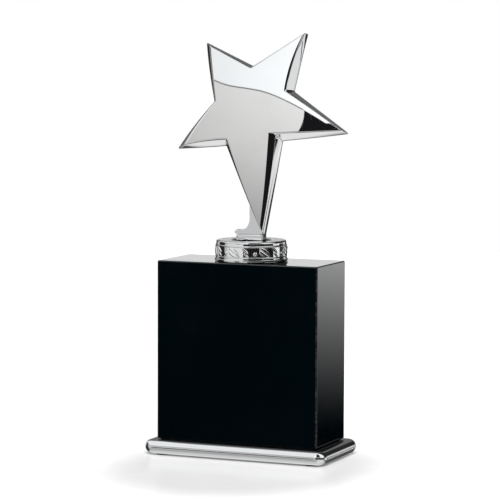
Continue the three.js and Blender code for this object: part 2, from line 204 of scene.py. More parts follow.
# %% [markdown]
# ## Two ways from one point to another
# Nearly all lines here are straight or gently bent. A straight one needs a share between its ends. A
# bent one is drawn towards a third point, as a draughtsman's curve is, and leaves each end in the
# direction of that point, so it joins its neighbours without a kink.


# %% Straight and bent lines
def blend(start, end, share):
    """The point that lies the given share of the way from start to end."""
    return start + (end - start) * share


def curve3(start, pull, end, share):
    """A curve from start to end drawn towards pull: (1-t)^2 start + 2t(1-t) pull + t^2 end."""
    return (1 - share) ** 2 * start + 2 * share * (1 - share) * pull + share**2 * end


print("half way from 0 to 4, drawn towards 10:", curve3(0.0, 10.0, 4.0, 0.5))

# %% [markdown]
# ## The star: its outline
# The star is a single casting, ground and polished before it was plated. Its front outline (the
# rim) is smaller than its back outline (the heel), so that all its side walls lean back and catch
# light. Ten corners set it: five tips and five notches. Each has its place on the rim, the step
# from there to its place on the heel, and how far the side after it bows outwards on each.
# A regular star would need only two radii, but no two arms of this one are alike.

# %% Corners of the star
STAR = np.array([
    # rim x, rim y, heel step x, heel step y, rim bow, heel bow, corner rounding
    [28.6, 121.6, 0.3, 1.4, 0.0, 0.0, 0.7],
    [-2.4, 101.0, -0.3, 2.4, 0.0, 0.0, 1.0],
    [-28.4, 114.2, -4.6, 3.6, 0.3, 0.6, 0.7],
    [-23.6, 80.8, -2.4, 0.9, 0.8, 0.8, 1.0],
    [-41.7, 54.4, -6.4, -0.9, -0.6, 0.3, 0.7],
    [-15.9, 57.9, -2.0, -2.6, 0.7, 0.3, 1.0],
    [7.6, 3.6, 0.3, -2.2, 0.6, 0.1, 0.7],
    [14.0, 61.4, 2.5, -2.8, 0.0, 0.2, 1.0],
    [53.4, 64.2, 2.2, -0.6, 0.2, 0.0, 0.7],
    [19.2, 87.5, 3.2, 1.1, -1.2, 0.0, 1.0],
])
print("corners:", len(STAR))

# %% [markdown]
# ## The star: from corners to a line
# A sharp corner can't be cast or polished, so each one is rounded a little, and each side may bow.
# Both are drawn with the same three-point curve. A Bezier curve object could hold the outline too, but
# the rim and the heel need the same number of points at every corner and side, because the walls join
# them point by point. To find where the rounded front edge starts, each side is moved inwards by its
# own width, and each new corner lies where its two moved sides meet.

# %% Outline of the star
CORNER_STEPS = 10
SIDE_STEPS = 54


def unit(vectors):
    """Each vector at length one."""
    return vectors / np.linalg.norm(vectors, axis=-1, keepdims=True)


def outline(corners, bows, rounding):
    """Closed line through the corners: at each a curve3 pulled to the corner itself, starting and
    ending its rounding away, then a curve3 side pulled outwards by twice its bow."""
    before = np.roll(corners, 1, axis=0)
    after = np.roll(corners, -1, axis=0)
    to_after = unit(after - corners)
    entry = corners + unit(before - corners) * rounding[:, None]
    leave = corners + to_after * rounding[:, None]
    arrive = after - to_after * np.roll(rounding, -1)[:, None]
    outward = np.stack([to_after[:, 1], -to_after[:, 0]], axis=-1)
    crown = (leave + arrive) / 2 + 2 * bows[:, None] * outward
    bend = np.linspace(0, 1, CORNER_STEPS)[None, :, None]
    run = np.linspace(0, 1, SIDE_STEPS + 1)[1:-1][None, :, None]
    turns = curve3(entry[:, None], corners[:, None], leave[:, None], bend)
    sides = curve3(leave[:, None], crown[:, None], arrive[:, None], run)
    return np.concatenate([turns, sides], axis=1).reshape(-1, 2)


def pulled_in(corners, arriving, leaving):
    """Corners of the outline after its sides move inwards: each new corner lies the distance
    arriving from the side that ends there and the distance leaving from the side that starts."""
    direction = unit(np.roll(corners, -1, axis=0) - corners)
    outward = np.stack([direction[:, 1], -direction[:, 0]], axis=-1)
    sides = np.stack([np.roll(outward, 1, axis=0), outward], axis=1)
    distances = -np.stack([arriving, leaving], axis=-1)
    return corners + np.linalg.solve(sides, distances[:, :, None])[:, :, 0]


rim_corners = STAR[:, 0:2]
heel_corners = rim_corners + STAR[:, 2:4]
rim = outline(rim_corners, STAR[:, 4], STAR[:, 6])
heel = outline(heel_corners, STAR[:, 5], STAR[:, 6])
print("outline points:", len(rim), "width", round(np.ptp(rim[:, 0]), 1), "mm")

# %% [markdown]
# ## The star: dome, edge and walls
# The face is a shallow dome, 2.2 mm high. On polished metal the eye reads curvature from what is
# reflected, so the height is worked out from one formula at every point and no modifier guesses it.
# Across the wall the section is one smooth line: the dome, a small rounded edge, a slightly full
# wall and a rounded heel. The edge beside the leg is rounded more than the others, as the buffing
# wheel leaves it where a hand holds the part.

# %% Section of the star
DOME_RISE = 2.2
DOME_HALF = np.array([56.0, 92.0])
DOME_CENTRE = np.array([0.0, 78.0])
RIM_DEPTH = 7.0
STAR_THICKNESS = 11.2
HEEL_DEPTH = RIM_DEPTH - STAR_THICKNESS
STAR_CENTRE = np.array([0.0, 80.0])


def dome_depth(places):
    """Rim depth + rise * (1 - (x/a)^2 - (y/b)^2), with x and y from the middle of the dome."""
    scaled = (places - DOME_CENTRE) / DOME_HALF
    return RIM_DEPTH + DOME_RISE * (1 - (scaled**2).sum(axis=-1))


def with_depth(places, depth):
    """Star-plane places (x, y) with their depth, as points (x, y, depth)."""
    return np.concatenate([places, np.broadcast_to(depth, places.shape[:-1])[..., None]], axis=-1)


flare = (rim - heel) / STAR_THICKNESS
crest = rim + flare * (dome_depth(rim) - RIM_DEPTH)[:, None]

# Width of the rounded front edge at the start and at the end of each side, corner by corner.
edge_leaving = np.array([0.55, 0.55, 0.55, 0.55, 0.6, 0.5, 1.5, 0.6, 0.6, 1.2])
edge_arriving = np.array([1.0, 0.55, 0.55, 0.55, 0.55, 0.6, 0.5, 4.7, 0.6, 0.6])
inner_corners = pulled_in(rim_corners, edge_arriving, edge_leaving)
inner = outline(inner_corners, STAR[:, 4], STAR[:, 6] * 0.6)
inner = inner + flare * (dome_depth(inner) - RIM_DEPTH)[:, None]
print("edge width from", edge_leaving.min(), "to", edge_arriving.max(), "mm")

# %% [markdown]
# ## The star: its rings
# A section has four stretches. The face runs from the middle out to the rounded edge, and its rings
# crowd together near the edge, where the reflection bends fastest. The edge and the heel are short
# curves. The wall between them is bowed outwards by half a millimetre, as a ground wall is: a dead flat
# one would mirror a single tone. A Bevel modifier could round the edges, but only to one width all
# round, and here the width changes along the side.

# %% Rings of the star
WALL_FULLNESS = 0.5
EDGE_REACH = 0.09
HEEL_REACH = 0.75


def wall_outward(top, bottom):
    """Direction at right angles to the wall: across the outline's run and the wall's slope."""
    along = np.roll(top, -1, axis=0) - np.roll(top, 1, axis=0)
    return unit(np.cross(bottom - top, along))


top = with_depth(crest, dome_depth(crest))
bottom = with_depth(heel, HEEL_DEPTH)
outward = wall_outward(top, bottom)
belly = (top + bottom) / 2 + 2 * WALL_FULLNESS * outward
edge_start = with_depth(inner, dome_depth(inner))
heel_inner = outline(pulled_in(heel_corners, np.full(10, 1.3), np.full(10, 1.3)), STAR[:, 5],
                     STAR[:, 6] * 0.6)
heel_end = with_depth(heel_inner, HEEL_DEPTH)


def row_shares(start, end, count):
    """Shares for a set of rows, shaped to multiply a ring of points."""
    return np.linspace(start, end, count)[:, None, None]


spread = (1 - (1 - np.linspace(0.03, 1, 40)) ** 1.4)[:, None, None]
face_places = blend(STAR_CENTRE[None, None], inner[None], spread)
face_rows = with_depth(face_places, dome_depth(face_places))
edge_end = curve3(top, belly, bottom, EDGE_REACH)
edge_rows = curve3(edge_start[None], top[None], edge_end[None], row_shares(0, 1, 11)[1:])
wall_rows = curve3(top[None], belly[None], bottom[None], row_shares(EDGE_REACH, HEEL_REACH, 13)[1:])
heel_rows = curve3(wall_rows[-1][None], bottom[None], heel_end[None], row_shares(0, 1, 9)[1:])
back_places = blend(heel_inner[None], STAR_CENTRE[None, None], row_shares(0, 0.96, 8)[1:])
back_rows = with_depth(back_places, HEEL_DEPTH)
star_rings = np.concatenate([face_rows, edge_rows, wall_rows, heel_rows, back_rows])
face_pole = with_depth(STAR_CENTRE[None], dome_depth(STAR_CENTRE[None]))[0]
back_pole = with_depth(STAR_CENTRE[None], HEEL_DEPTH)[0]
print("rings:", len(star_rings), "points in each:", star_rings.shape[1])

# %% [markdown]
# ## The star on the award
# The drawing so far lies flat: x to the right, y up the star and depth towards the viewer. On the
# award the star leans back by 10 degrees and is turned by 11 degrees, so it doesn't face straight
# ahead. Turning the points themselves, and not the object, keeps the object at the origin.

# %% Place the star
LEAN = np.radians(10)
YAW = np.radians(11)
plinth_bottom = collar_high[2] + 0.02


def stand(points, lean=0.0):
    """(x, y, depth) to the award: y upwards leaning back, depth to the front, then turned."""
    x, y, depth = points[..., 0], points[..., 1], points[..., 2]
    forward = depth * np.cos(lean) - y * np.sin(lean)
    height = y * np.cos(lean) + depth * np.sin(lean)
    placed_x = x * np.cos(YAW) + forward * np.sin(YAW)
    placed_y = x * np.sin(YAW) - forward * np.cos(YAW)
    return np.stack([placed_x, placed_y, height + plinth_bottom], axis=-1)


star_points, star_faces = stack_mesh(star_rings, face_pole, back_pole)
star_shell = (stand(star_points, LEAN), star_faces)
rows_of = [len(face_rows), len(edge_rows), len(wall_rows), len(heel_rows), len(back_rows)]
edge_strength = np.concatenate([
    np.clip(np.linspace(-6, 1, rows_of[0]), 0, 1),
    np.ones(rows_of[1]),
    np.clip(np.abs(np.linspace(-1.6, 1.6, rows_of[2])) - 0.6, 0, 1),
    np.ones(rows_of[3]),
    np.clip(np.linspace(1, -3, rows_of[4]), 0, 1),
])
star_edges = np.concatenate([np.repeat(edge_strength, star_rings.shape[1]), [0, 0]])
print("star height in mm:", round(np.ptp(star_shell[0][:, 2]), 2))

# %% [markdown]
# ## The foot plate, its spigot and the web
# The leg ends in the air in front of the collar's middle. What carries it is a small foot plate,
# with a web behind the leg that spreads to the left into a toe. A spigot under the plate goes down
# into the collar. Plate and spigot are one stack of rings: a rounded rectangle that shrinks to a
# circle underneath. The web is a side view drawn as a line and given thickness, with its two edges
# rounded over, as they come from the mould.


# %% Rounded rectangles
SIDE_SHARES = np.concatenate([[0.002, 0.02], np.linspace(0.1, 0.9, 9), [0.98, 0.998]])


def rounded_ring(width, depth, rounding, arc_steps=10):
    """Closed rounded rectangle, counter-clockwise from the front: a quarter circle at each corner
    about (w/2 - r, d/2 - r), then a straight side. Points right beside each arc keep the side
    flat, as a loop cut does."""
    rounding = max(rounding, 1e-3)
    signs = np.array([[1, -1], [1, 1], [-1, 1], [-1, -1]])
    centres = signs * (np.array([width, depth]) / 2 - rounding)
    angles = np.linspace(0, np.pi / 2, arc_steps)[None, :]
    angles = angles + (np.arange(4)[:, None] - 1) * np.pi / 2
    arcs = centres[:, None] + rounding * np.stack([np.cos(angles), np.sin(angles)], axis=-1)
    ends = np.roll(arcs[:, 0], -1, axis=0)
    shares = SIDE_SHARES[None, :, None]
    sides = blend(arcs[:, -1][:, None], ends[:, None], shares)
    return np.concatenate([arcs, sides], axis=1).reshape(-1, 2)


def slab_rings(width, depth, rounding, insets, heights, floor=0.4):
    """Rounded rectangles drawn in by each inset, at each height, as rings of points."""
    rings = [
        with_depth(rounded_ring(width - 2 * inset, depth - 2 * inset,
                                max(rounding - inset, floor)), height)
        for inset, height in zip(insets, heights)
    ]
    return np.array(rings)


def round_rings(like, radius, heights):
    """Circles of one radius at each height, whose points lie at the same angles as those of like."""
    angles = np.arctan2(like[:, 1], like[:, 0])
    places = radius * np.stack([np.cos(angles), np.sin(angles)], axis=-1)
    return np.array([with_depth(places, height) for height in heights])


def arc(start, end, count):
    """Angles from start to end, in degrees, as radians."""
    return np.radians(np.linspace(start, end, count))


print("points in a rounded rectangle:", len(rounded_ring(10.0, 5.0, 1.0)))

# %% [markdown]
# ## The foot plate
# The plate is a slab with a rounded top edge. On the real casting it is machined flat underneath, and
# its spigot is turned. Insets and heights are two short lists that are read together: each pair gives
# one ring. A ring right under the rounded edge keeps the side of the plate flat.

# %% Foot plate and spigot
PLINTH_WIDTH = 16.0
PLINTH_DEPTH = 11.0
PLINTH_THICKNESS = 3.2
PLINTH_EDGE = 0.55

bend = arc(0, 90, 7)
top_insets = PLINTH_EDGE * (1 - np.sin(bend))
top_heights = PLINTH_THICKNESS - PLINTH_EDGE * (1 - np.cos(bend))
plate_insets = np.concatenate([[5.0, 2.0, 0.6], top_insets, [0.0, 0.0, 0.0, 0.2]])
plate_heights = np.concatenate([[PLINTH_THICKNESS] * 3, top_heights, [2.6, 1.5, 0.2, 0.0]])
plate_rings = slab_rings(PLINTH_WIDTH, PLINTH_DEPTH, 1.0, plate_insets, plate_heights)
spigot_rings = np.concatenate([
    round_rings(plate_rings[0], 4.8, [0.0, -4.0, -7.6]),
    round_rings(plate_rings[0], 4.4, [-8.0]),
    round_rings(plate_rings[0], 2.6, [-8.0, -4.0, 0.0]),
])
plate_stack = np.concatenate([plate_rings, spigot_rings])
points, faces = stack_mesh(plate_stack, [0, 0, PLINTH_THICKNESS], [0, 0, 0.3])
plate_shell = (stand(points[:, [0, 2, 1]] * [1, 1, -1]), faces)
print("foot plate", PLINTH_WIDTH, "by", PLINTH_DEPTH, "mm")

# %% [markdown]
# ## The web
# The web is a plate on edge, cast with the star. Its side view has a hollow curve down to a rounded
# toe. It could be a flat curve with a bevel, but then its rounded edge would grow outwards. Here the line
# is drawn in, ring by ring, so the outside keeps its size.

# %% Web behind the leg
WEB_THICKNESS = 4.4
WEB_EDGE = 0.5


def web_line():
    """Side view of the web: up the right, across the top, down a hollow curve and round the toe."""
    fillet_angles = arc(0, -90, 26)
    fillet = np.stack([-6.7 + 6 * np.cos(fillet_angles), 11.8 + 6 * np.sin(fillet_angles)], -1)
    toe_angles = arc(90, 270, 18)
    toe = np.stack([-8.3 + 1.3 * np.cos(toe_angles), 4.5 + 1.3 * np.sin(toe_angles)], axis=-1)
    ends = [[7.0, 2.2], [7.0, 6.2], [3.0, 21.0], [-0.7, 21.0]]
    return np.concatenate([ends, fillet, toe, [[-7.0, 2.4]]])


def drawn_in(line, distance):
    """A closed line moved inwards: each point steps along the mean of its two sides' normals."""
    forward = unit(np.roll(line, -1, axis=0) - line)
    backward = np.roll(forward, 1, axis=0)
    normals = np.stack([-(forward + backward)[:, 1], (forward + backward)[:, 0]], axis=-1)
    return line + distance * unit(normals)


web_outline = web_line()
steps = arc(0, 90, 7)
half = WEB_THICKNESS / 2
web_rows = [
    with_depth(drawn_in(web_outline, WEB_EDGE * (1 - np.sin(step))),
               half - WEB_EDGE * (1 - np.cos(step)))
    for step in steps
]
web_rows.insert(0, with_depth(drawn_in(web_outline, WEB_EDGE + 0.05), half))
web_rows += [row * [1, 1, -1] for row in web_rows[::-1]]
web_stack = np.array(web_rows)
columns = web_stack.shape[1]
web_faces = stack_faces(len(web_stack), columns, False).tolist()
web_faces.append(list(range(columns)))
web_faces.append([(len(web_stack) - 1) * columns + k for k in range(columns)][::-1])
web_shell = (stand(web_stack.reshape(-1, 3)), web_faces)
print("web:", web_stack.shape)

# %% [markdown]
# ## One casting
# Star, web, plate and spigot are cast in one piece, so they become one object of three closed shells that
# run into each other. Joining them with a Boolean modifier would save the hidden faces, but it would
# break the even rings on which the smooth reflections rest.

# %% Join the casting
casting_marks = np.concatenate([
    star_edges,
    np.zeros(len(plate_shell[0])),
    np.zeros(len(web_shell[0])),
])
star = make_piece("star_polished", [star_shell, plate_shell, web_shell], {"edge": casting_marks})
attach(star, "root")
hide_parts("star_casting")
print("edge numbers:", len(casting_marks))

# %% [markdown]
# ## The collar
# The collar is turned on a lathe, so its section is a line of radius and height that goes round
# the axis. The band between the two grooves is cast with laurel: a broad leaf, a pair of leaflets
# and a berry, seven times round. A relief this low is a height added to the band's radius. Each
# leaf is a low plateau over a pointed oval, with a groove along its middle.

# %% Laurel relief
RIM_RADIUS = 21.45
BAND_RADIUS = 20.95
BAND_LOW, BAND_HIGH = 3.0, 8.8
LEAF_COUNT = 7
REPEAT = 2 * np.pi * BAND_RADIUS / LEAF_COUNT
LEAF_TILT = np.radians(-34)


def leaf_height(along, above, length, width, height, tilt, vein):
    """A pointed oval whose half width is width/2 * (1 - (2 run/length)^2)^0.8: flat inside, with a
    border 0.45 mm wide that rises as 3t^2 - 2t^3 to the height, less a groove along its middle."""
    run = along * np.cos(tilt) + above * np.sin(tilt)
    across = above * np.cos(tilt) - along * np.sin(tilt)
    reach = np.clip(1 - (2 * run / length) ** 2, 0, 1) ** 0.8
    half = np.maximum(width / 2 * reach, 1e-6)
    inside = np.clip((half - np.abs(across)) / 0.45, 0, 1)
    swell = inside**2 * (3 - 2 * inside)
    groove = vein * np.exp(-((across / 0.22) ** 2)) * np.clip(3 * reach, 0, 1)
    return height * swell * np.clip(2.5 * reach, 0, 1) - groove * (swell > 0)


def laurel(angle, height):
    """Relief above the band at an angle (radians, from the front towards the right) and height."""
    middle = (BAND_LOW + BAND_HIGH) / 2
    along = (angle * BAND_RADIUS - 0.85 * REPEAT) % REPEAT
    along = np.where(along > REPEAT * 0.86, along - REPEAT, along)
    above = height - middle
    leaf = leaf_height(along, above, 9.8, 4.4, 0.5, LEAF_TILT, 0.3)
    upper = leaf_height(along - 0.40 * REPEAT, above - 1.2, 5.2, 1.5, 0.5, LEAF_TILT - 0.1, 0.0)
    lower = leaf_height(along - 0.44 * REPEAT, above + 1.5, 3.6, 1.2, 0.45, LEAF_TILT - 0.1, 0.0)
    distance = np.hypot(along - 0.72 * REPEAT, above + 0.9) / 1.05
    berry = 0.5 * np.sqrt(np.clip(1 - distance**2, 0, 1))
    return np.maximum.reduce([leaf, upper, lower, berry])


print("one leaf and its berry take", round(REPEAT, 2), "mm of the band")

# %% [markdown]
# ## The collar's section
# A lathe tool cuts every groove and bead of the collar. The section lists them from the bottom to the
# top, and then goes down the inside, which is hollowed to save metal. The walls draw in by a hair as
# they rise, because a casting has to leave its mould. Turned with the Screw modifier the section would
# give the same rings, but there would be no place to add the leaves.

# %% Section of the collar
def bead(centre, reach, height, start, end, count):
    """Part of an ellipse in the section, round (centre radius, height), between two angles."""
    turn_angles = arc(start, end, count)
    return np.stack([centre[0] + reach * np.cos(turn_angles),
                     centre[1] + height * np.sin(turn_angles)], axis=-1)


def leaning(start_radius, low, high, count, taper=0.02):
    """A wall that draws in by the taper for each millimetre that it rises."""
    rows = np.linspace(low, high, count)
    return np.stack([start_radius - taper * (rows - low), rows], axis=-1)


def collar_section():
    """Radius and height of the collar's outside, from the foot of the rim to the top of its bore:
    a plain rim, a narrow wall, a bead, the laurel band, a bead, a wall, the shoulder and the top."""
    parts = [
        [[21.35, 0.0], [21.44, 0.06]],
        leaning(21.45, 0.12, 1.2, 4, 0.0),
        bead((21.25, 1.2), 0.2, 0.12, 15, 90, 4),
        [[21.0, 1.34], [20.97, 1.38]],
        [[20.956, 1.4]],
        leaning(20.95, 1.42, 2.26, 5),
        [[20.93, 2.28]],
        bead((20.75, 2.64), 0.38, 0.33, -70, 70, 9),
        leaning(BAND_RADIUS - 0.03, BAND_LOW + 0.04, BAND_HIGH - 0.04, 44),
        bead((20.62, 9.2), 0.38, 0.36, -70, 70, 9),
        [[20.63, 9.62]],
        leaning(20.62, 9.64, 10.86, 6),
        bead((19.56, 10.88), 1.04, 1.1, 2, 86, 18),
        [[19.36, 11.992], [19.24, 12.0], [19.18, 12.0], [13.0, 12.0], [5.05, 12.0]],
    ]
    return np.concatenate(parts)


section = collar_section()
print("points in the collar's section:", len(section))

# %% [markdown]
# ## Turning the collar
# The section is copied round the axis in 840 steps, fine enough for the leaf borders. On the band the
# relief is added to the radius, and it fades out next to the beads. The relief is also kept as a
# number on the mesh, so that the finish can find the hollows between the leaves. Sculpting or a
# displacement picture could make the leaves too, but a formula gives the same leaf seven times.

# %% Collar
inside = np.array([[5.05, 6.0], [5.05, 0.0], [8.5, 0.0], [9.0, 6.5], [17.75, 6.5], [18.25, 0.0],
                   [20.9, 0.0]])
profile = np.concatenate([section, inside])
COLLAR_COLUMNS = 840
angles = np.arange(COLLAR_COLUMNS) / COLLAR_COLUMNS * 2 * np.pi
radius, height = profile[:, 0][:, None], profile[:, 1][:, None]
on_band = ((height > BAND_LOW) & (height < BAND_HIGH) & (radius > BAND_RADIUS - 0.3))
fade = np.clip((height - BAND_LOW) / 0.3, 0, 1) * np.clip((BAND_HIGH - height) / 0.3, 0, 1)
relief = np.where(on_band, laurel(angles[None, :], height) * fade, 0)
relief = np.minimum(relief, RIM_RADIUS - radius)
radii = radius + np.where(on_band, relief, 0)
collar_rings = np.stack([radii * np.sin(angles), -radii * np.cos(angles),
                         np.broadcast_to(height + collar_low[2], radii.shape)], axis=-1)
collar_shell = stack_mesh(collar_rings, loop=True)
relief_mark = np.where(on_band, relief, 0.0).ravel()
collar = make_piece("collar_polished", [collar_shell], {"relief": relief_mark})
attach(collar, "root")
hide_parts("collar")

# %% [markdown]
# ## The black crystal block
# Optical crystal is sawn, ground flat and polished, and its sharp edges are taken off with a small
# bevel. A cube with a Bevel modifier would do for the outside, but the rod's hole would have to be
# cut with a Boolean. A stack of rings that goes on through the hole needs no cutting. Flat faces must
# stay perfectly flat, or their reflections bend, so each bevel is held by rings right beside it.

# %% Block
block_size = block_high - block_low
BEVEL = 0.6
HOLD = 0.02
low_insets = [BEVEL + HOLD, BEVEL, BEVEL - 0.06, 0.06, 0.0, 0.0]
low_heights = [0.0, 0.0, 0.03, BEVEL - 0.03, BEVEL, BEVEL + HOLD]
heights = np.array(low_heights)
insets = np.array(low_insets)
side_insets = np.concatenate([insets, [0.0, 0.0], insets[::-1]])
side_heights = np.concatenate([heights, [30.0, 80.0], (block_size[2] - heights)[::-1]])
BLOCK_CORNER = 0.75
block_rings = slab_rings(block_size[0], block_size[1], BLOCK_CORNER, side_insets, side_heights, 0.5)
top_of_block = block_size[2]
bore_rings = np.concatenate([
    round_rings(block_rings[0], 4.06, [top_of_block]),
    round_rings(block_rings[0], 4.0, [top_of_block, top_of_block - 0.06, 0.06, 0.0]),
    round_rings(block_rings[0], 4.06, [0.0]),
])
block_stack = np.concatenate([block_rings, bore_rings]) + [0, 0, block_low[2]]
near_edge = (side_insets > 0.001) & (side_insets < BEVEL + 0.001)
block_marks = np.repeat(np.concatenate([near_edge * 1.0, np.zeros(6)]), block_stack.shape[1])
corner_columns = np.arange(block_stack.shape[1]) % (10 + len(SIDE_SHARES)) < 10
block_marks = np.maximum(block_marks, np.tile(corner_columns * 1.0, len(block_stack)))
block = make_piece("block_polished", [stack_mesh(block_stack, loop=True)], {"edge": block_marks})
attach(block, "root")
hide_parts("crystal_block")
print("block in mm:", np.round(block_size, 2))

# %% [markdown]
# ## The tray
# The block stands in the middle of a chrome tray with a fully rounded edge, like a bar of half
# round rod bent round a plate. Its section is a semicircle in sixty steps, because a curved mirror
# shows every facet. A Bevel modifier could round the edge as well, but in a stack the flat top keeps
# rings right beside the curve, which hold it flat. Underneath, a rebate holds the felt and a round
# recess holds the washer and the nut, so the stack goes on through the rod's hole.

# %% Tray
tray_size = tray_high - tray_low
TRAY_CORNER = 6.0
edge_radius = (tray_size[2] - 0.3) / 2
sweep = arc(90, -90, 61)
nose_insets = edge_radius * (1 - np.cos(sweep))
nose_heights = tray_size[2] / 2 + 0.15 * np.sign(np.sin(sweep)) + edge_radius * np.sin(sweep)
flat_top = [edge_radius + 4.0, edge_radius + 0.6, edge_radius + 0.1]
tray_insets = np.concatenate([flat_top, nose_insets, [edge_radius + 0.1, edge_radius + 2.0]])
tray_heights = np.concatenate([[tray_size[2]] * 3, nose_heights, [0.0, 0.0]])
outer_rings = slab_rings(tray_size[0], tray_size[1], TRAY_CORNER, tray_insets, tray_heights, 1.2)
felt_low, felt_high = box_mm("base_felt")
felt_size = felt_high - felt_low + 0.6
rebate = slab_rings(felt_size[0], felt_size[1], 4.3, [0.0, 0.0], [0.0, 1.0])
recess_ceiling = tray_size[2] - 1.44
under_rings = np.concatenate([
    rebate,
    round_rings(outer_rings[0], 13.0, [1.0, recess_ceiling]),
    round_rings(outer_rings[0], 4.0, [recess_ceiling, tray_size[2]]),
])
tray_stack = np.concatenate([outer_rings, under_rings]) + [0, 0, tray_low[2]]
tray = make_piece("tray_polished", [stack_mesh(tray_stack, loop=True)])
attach(tray, "root")
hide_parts("base_tray")
print("tray edge radius", round(edge_radius, 2), "mm")

# %% [markdown]
# ## Building finishes: small helpers
# A material is a tree of nodes. Adding and wiring nodes by hand is long, so two helpers do it: one
# adds a node and sets its inputs, where an input may be a plain value or another node's output.


# %% Node helpers
def add(tree, kind, settings=None, **values):
    """Adds a node. settings are its own properties; values go to inputs by name or by number."""
    node = tree.nodes.new(kind)
    for name, value in (settings or {}).items():
        setattr(node, name, value)
    for name, value in values.items():
        key = int(name[1:]) if name[0] == "_" else name.replace("_", " ")
        plug(tree, node.inputs[key], value)
    return node


def plug(tree, socket, value):
    """Links an output to the socket, or sets the socket's own value."""
    if isinstance(value, bpy.types.NodeSocket):
        tree.links.new(value, socket)
    else:
        socket.default_value = value


print("helpers: add() places a node and plug() feeds an input")

# %% [markdown]
# ## Helpers for values and colours
# Four kinds of node do most of the work: one sum, one change of range, one mix of two colours and one
# noise. Each gets a function that places the node and gives back its output, so that a finish reads
# like a recipe.


# %% Value and colour helpers
def maths(tree, operation, *values):
    """The result of one Math node."""
    node = tree.nodes.new("ShaderNodeMath")
    node.operation = operation
    for socket, value in zip(node.inputs, values):
        plug(tree, socket, value)
    return node.outputs[0]


def mapped(tree, value, low, high, to_low=0.0, to_high=1.0, kind="SMOOTHSTEP"):
    """value from the range low..high to the range to_low..to_high, with soft ends."""
    node = add(tree, "ShaderNodeMapRange", {"interpolation_type": kind}, Value=value,
               From_Min=low, From_Max=high, To_Min=to_low, To_Max=to_high)
    return node.outputs["Result"]


def mixed(tree, share, first, second):
    """A colour the given share of the way from first to second."""
    node = tree.nodes.new("ShaderNodeMix")
    node.data_type = "RGBA"
    plug(tree, node.inputs[0], share)
    plug(tree, node.inputs[6], first)
    plug(tree, node.inputs[7], second)
    return node.outputs[2]


def noise(tree, place, scale, detail=3.0, roughness=0.55):
    """Values of a noise pattern, from 0 to 1."""
    node = add(tree, "ShaderNodeTexNoise", Vector=place, Scale=scale, Detail=detail,
               Roughness=roughness)
    return node.outputs["Fac"]


print("helpers: maths(), mapped(), mixed() and noise() give back an output")

# %% [markdown]
# ## Starting a node group
# A group is a small tree with named inputs and outputs, like a function. It reads the piece's own
# coordinates inside, so that it gives the right pattern wherever it is placed.


# %% Group starter
def new_group(name, inputs, outputs):
    """An empty shader node group with float inputs {name: start value} and {name: kind} outputs."""
    tree = bpy.data.node_groups.new(name, "ShaderNodeTree")
    for label, value in inputs.items():
        kind = "NodeSocketFloat" if isinstance(value, float) else "NodeSocketColor"
        socket = tree.interface.new_socket(label, in_out="INPUT", socket_type=kind)
        socket.default_value = value
    for label, kind in outputs.items():
        tree.interface.new_socket(label, in_out="OUTPUT", socket_type=kind)
    source = tree.nodes.new("NodeGroupInput")
    result = tree.nodes.new("NodeGroupOutput")
    place = tree.nodes.new("ShaderNodeTexCoord").outputs["Object"]
    return tree, source.outputs, result.inputs, place


print("helper: new_group() makes an empty group")

# %% [markdown]
# ## Shared effects
# Four effects appear on more than one finish. Handling leaves a film: soft patches where a cloth
# or a thumb has been, which scatter a little light. Polishing leaves hairlines: long fine scratches
# in a few directions. Any workshop leaves dust: tiny pale specks. Edges wear first. Each effect is a
# node group with its own inputs, built once and placed in every material that needs it.

# %% Group: film
film_tree, film_in, film_out, place = new_group(
    "handling film",
    {"Scale": 60.0, "Amount": 0.5},
    {"Film": "NodeSocketFloat"},
)
patches = noise(film_tree, place, film_in["Scale"], 4.0, 0.6)
cloudy = mapped(film_tree, patches, 0.45, 0.72)
fine_scale = maths(film_tree, "MULTIPLY", film_in["Scale"], 7.0)
grain = noise(film_tree, place, fine_scale, 2.0, 0.5)
textured = maths(film_tree, "MULTIPLY", cloudy, mapped(film_tree, grain, 0.25, 0.75, 0.6, 1.0))
plug(film_tree, film_out["Film"], maths(film_tree, "MULTIPLY", textured, film_in["Amount"]))
print("group", film_tree.name, "gives a mask from 0 to its amount")

# %% [markdown]
# ## Hairlines
# A polishing cloth leaves fine lines, straight over a short stretch and lying in a few directions. A
# noise that is squeezed in one direction becomes a set of streaks. Three of them, turned to different
# angles, are laid over each other, and only their peaks are kept.

# %% Group: hairlines
hair_tree, hair_in, hair_out, place = new_group(
    "hairlines",
    {"Scale": 300.0, "Amount": 1.0},
    {"Height": "NodeSocketFloat", "Mask": "NodeSocketFloat"},
)
lines = None
for degrees in (12.0, 71.0, 128.0):
    turned_place = add(hair_tree, "ShaderNodeMapping", Vector=place,
                       Rotation=(0.0, np.radians(degrees), np.radians(degrees / 2)),
                       Scale=(1.0, 0.02, 0.02)).outputs[0]
    strand = add(hair_tree, "ShaderNodeTexNoise", Vector=turned_place, Scale=hair_in["Scale"],
                 Detail=2.0, Roughness=0.5).outputs["Fac"]
    strand = mapped(hair_tree, strand, 0.66, 0.74)
    lines = strand if lines is None else maths(hair_tree, "MAXIMUM", lines, strand)
lines = maths(hair_tree, "MULTIPLY", lines, hair_in["Amount"])
plug(hair_tree, hair_out["Mask"], lines)
plug(hair_tree, hair_out["Height"], maths(hair_tree, "MULTIPLY", lines, -1.0))
print("group", hair_tree.name, "gives scratches as a mask and as a height")

# %% [markdown]
# ## Dust
# Dust settles as separate specks. A Voronoi pattern splits space into cells, each with a random
# colour: a cell gets a speck in its middle only when its random number is below the share that is asked
# for. A noise would give blotches instead of specks.

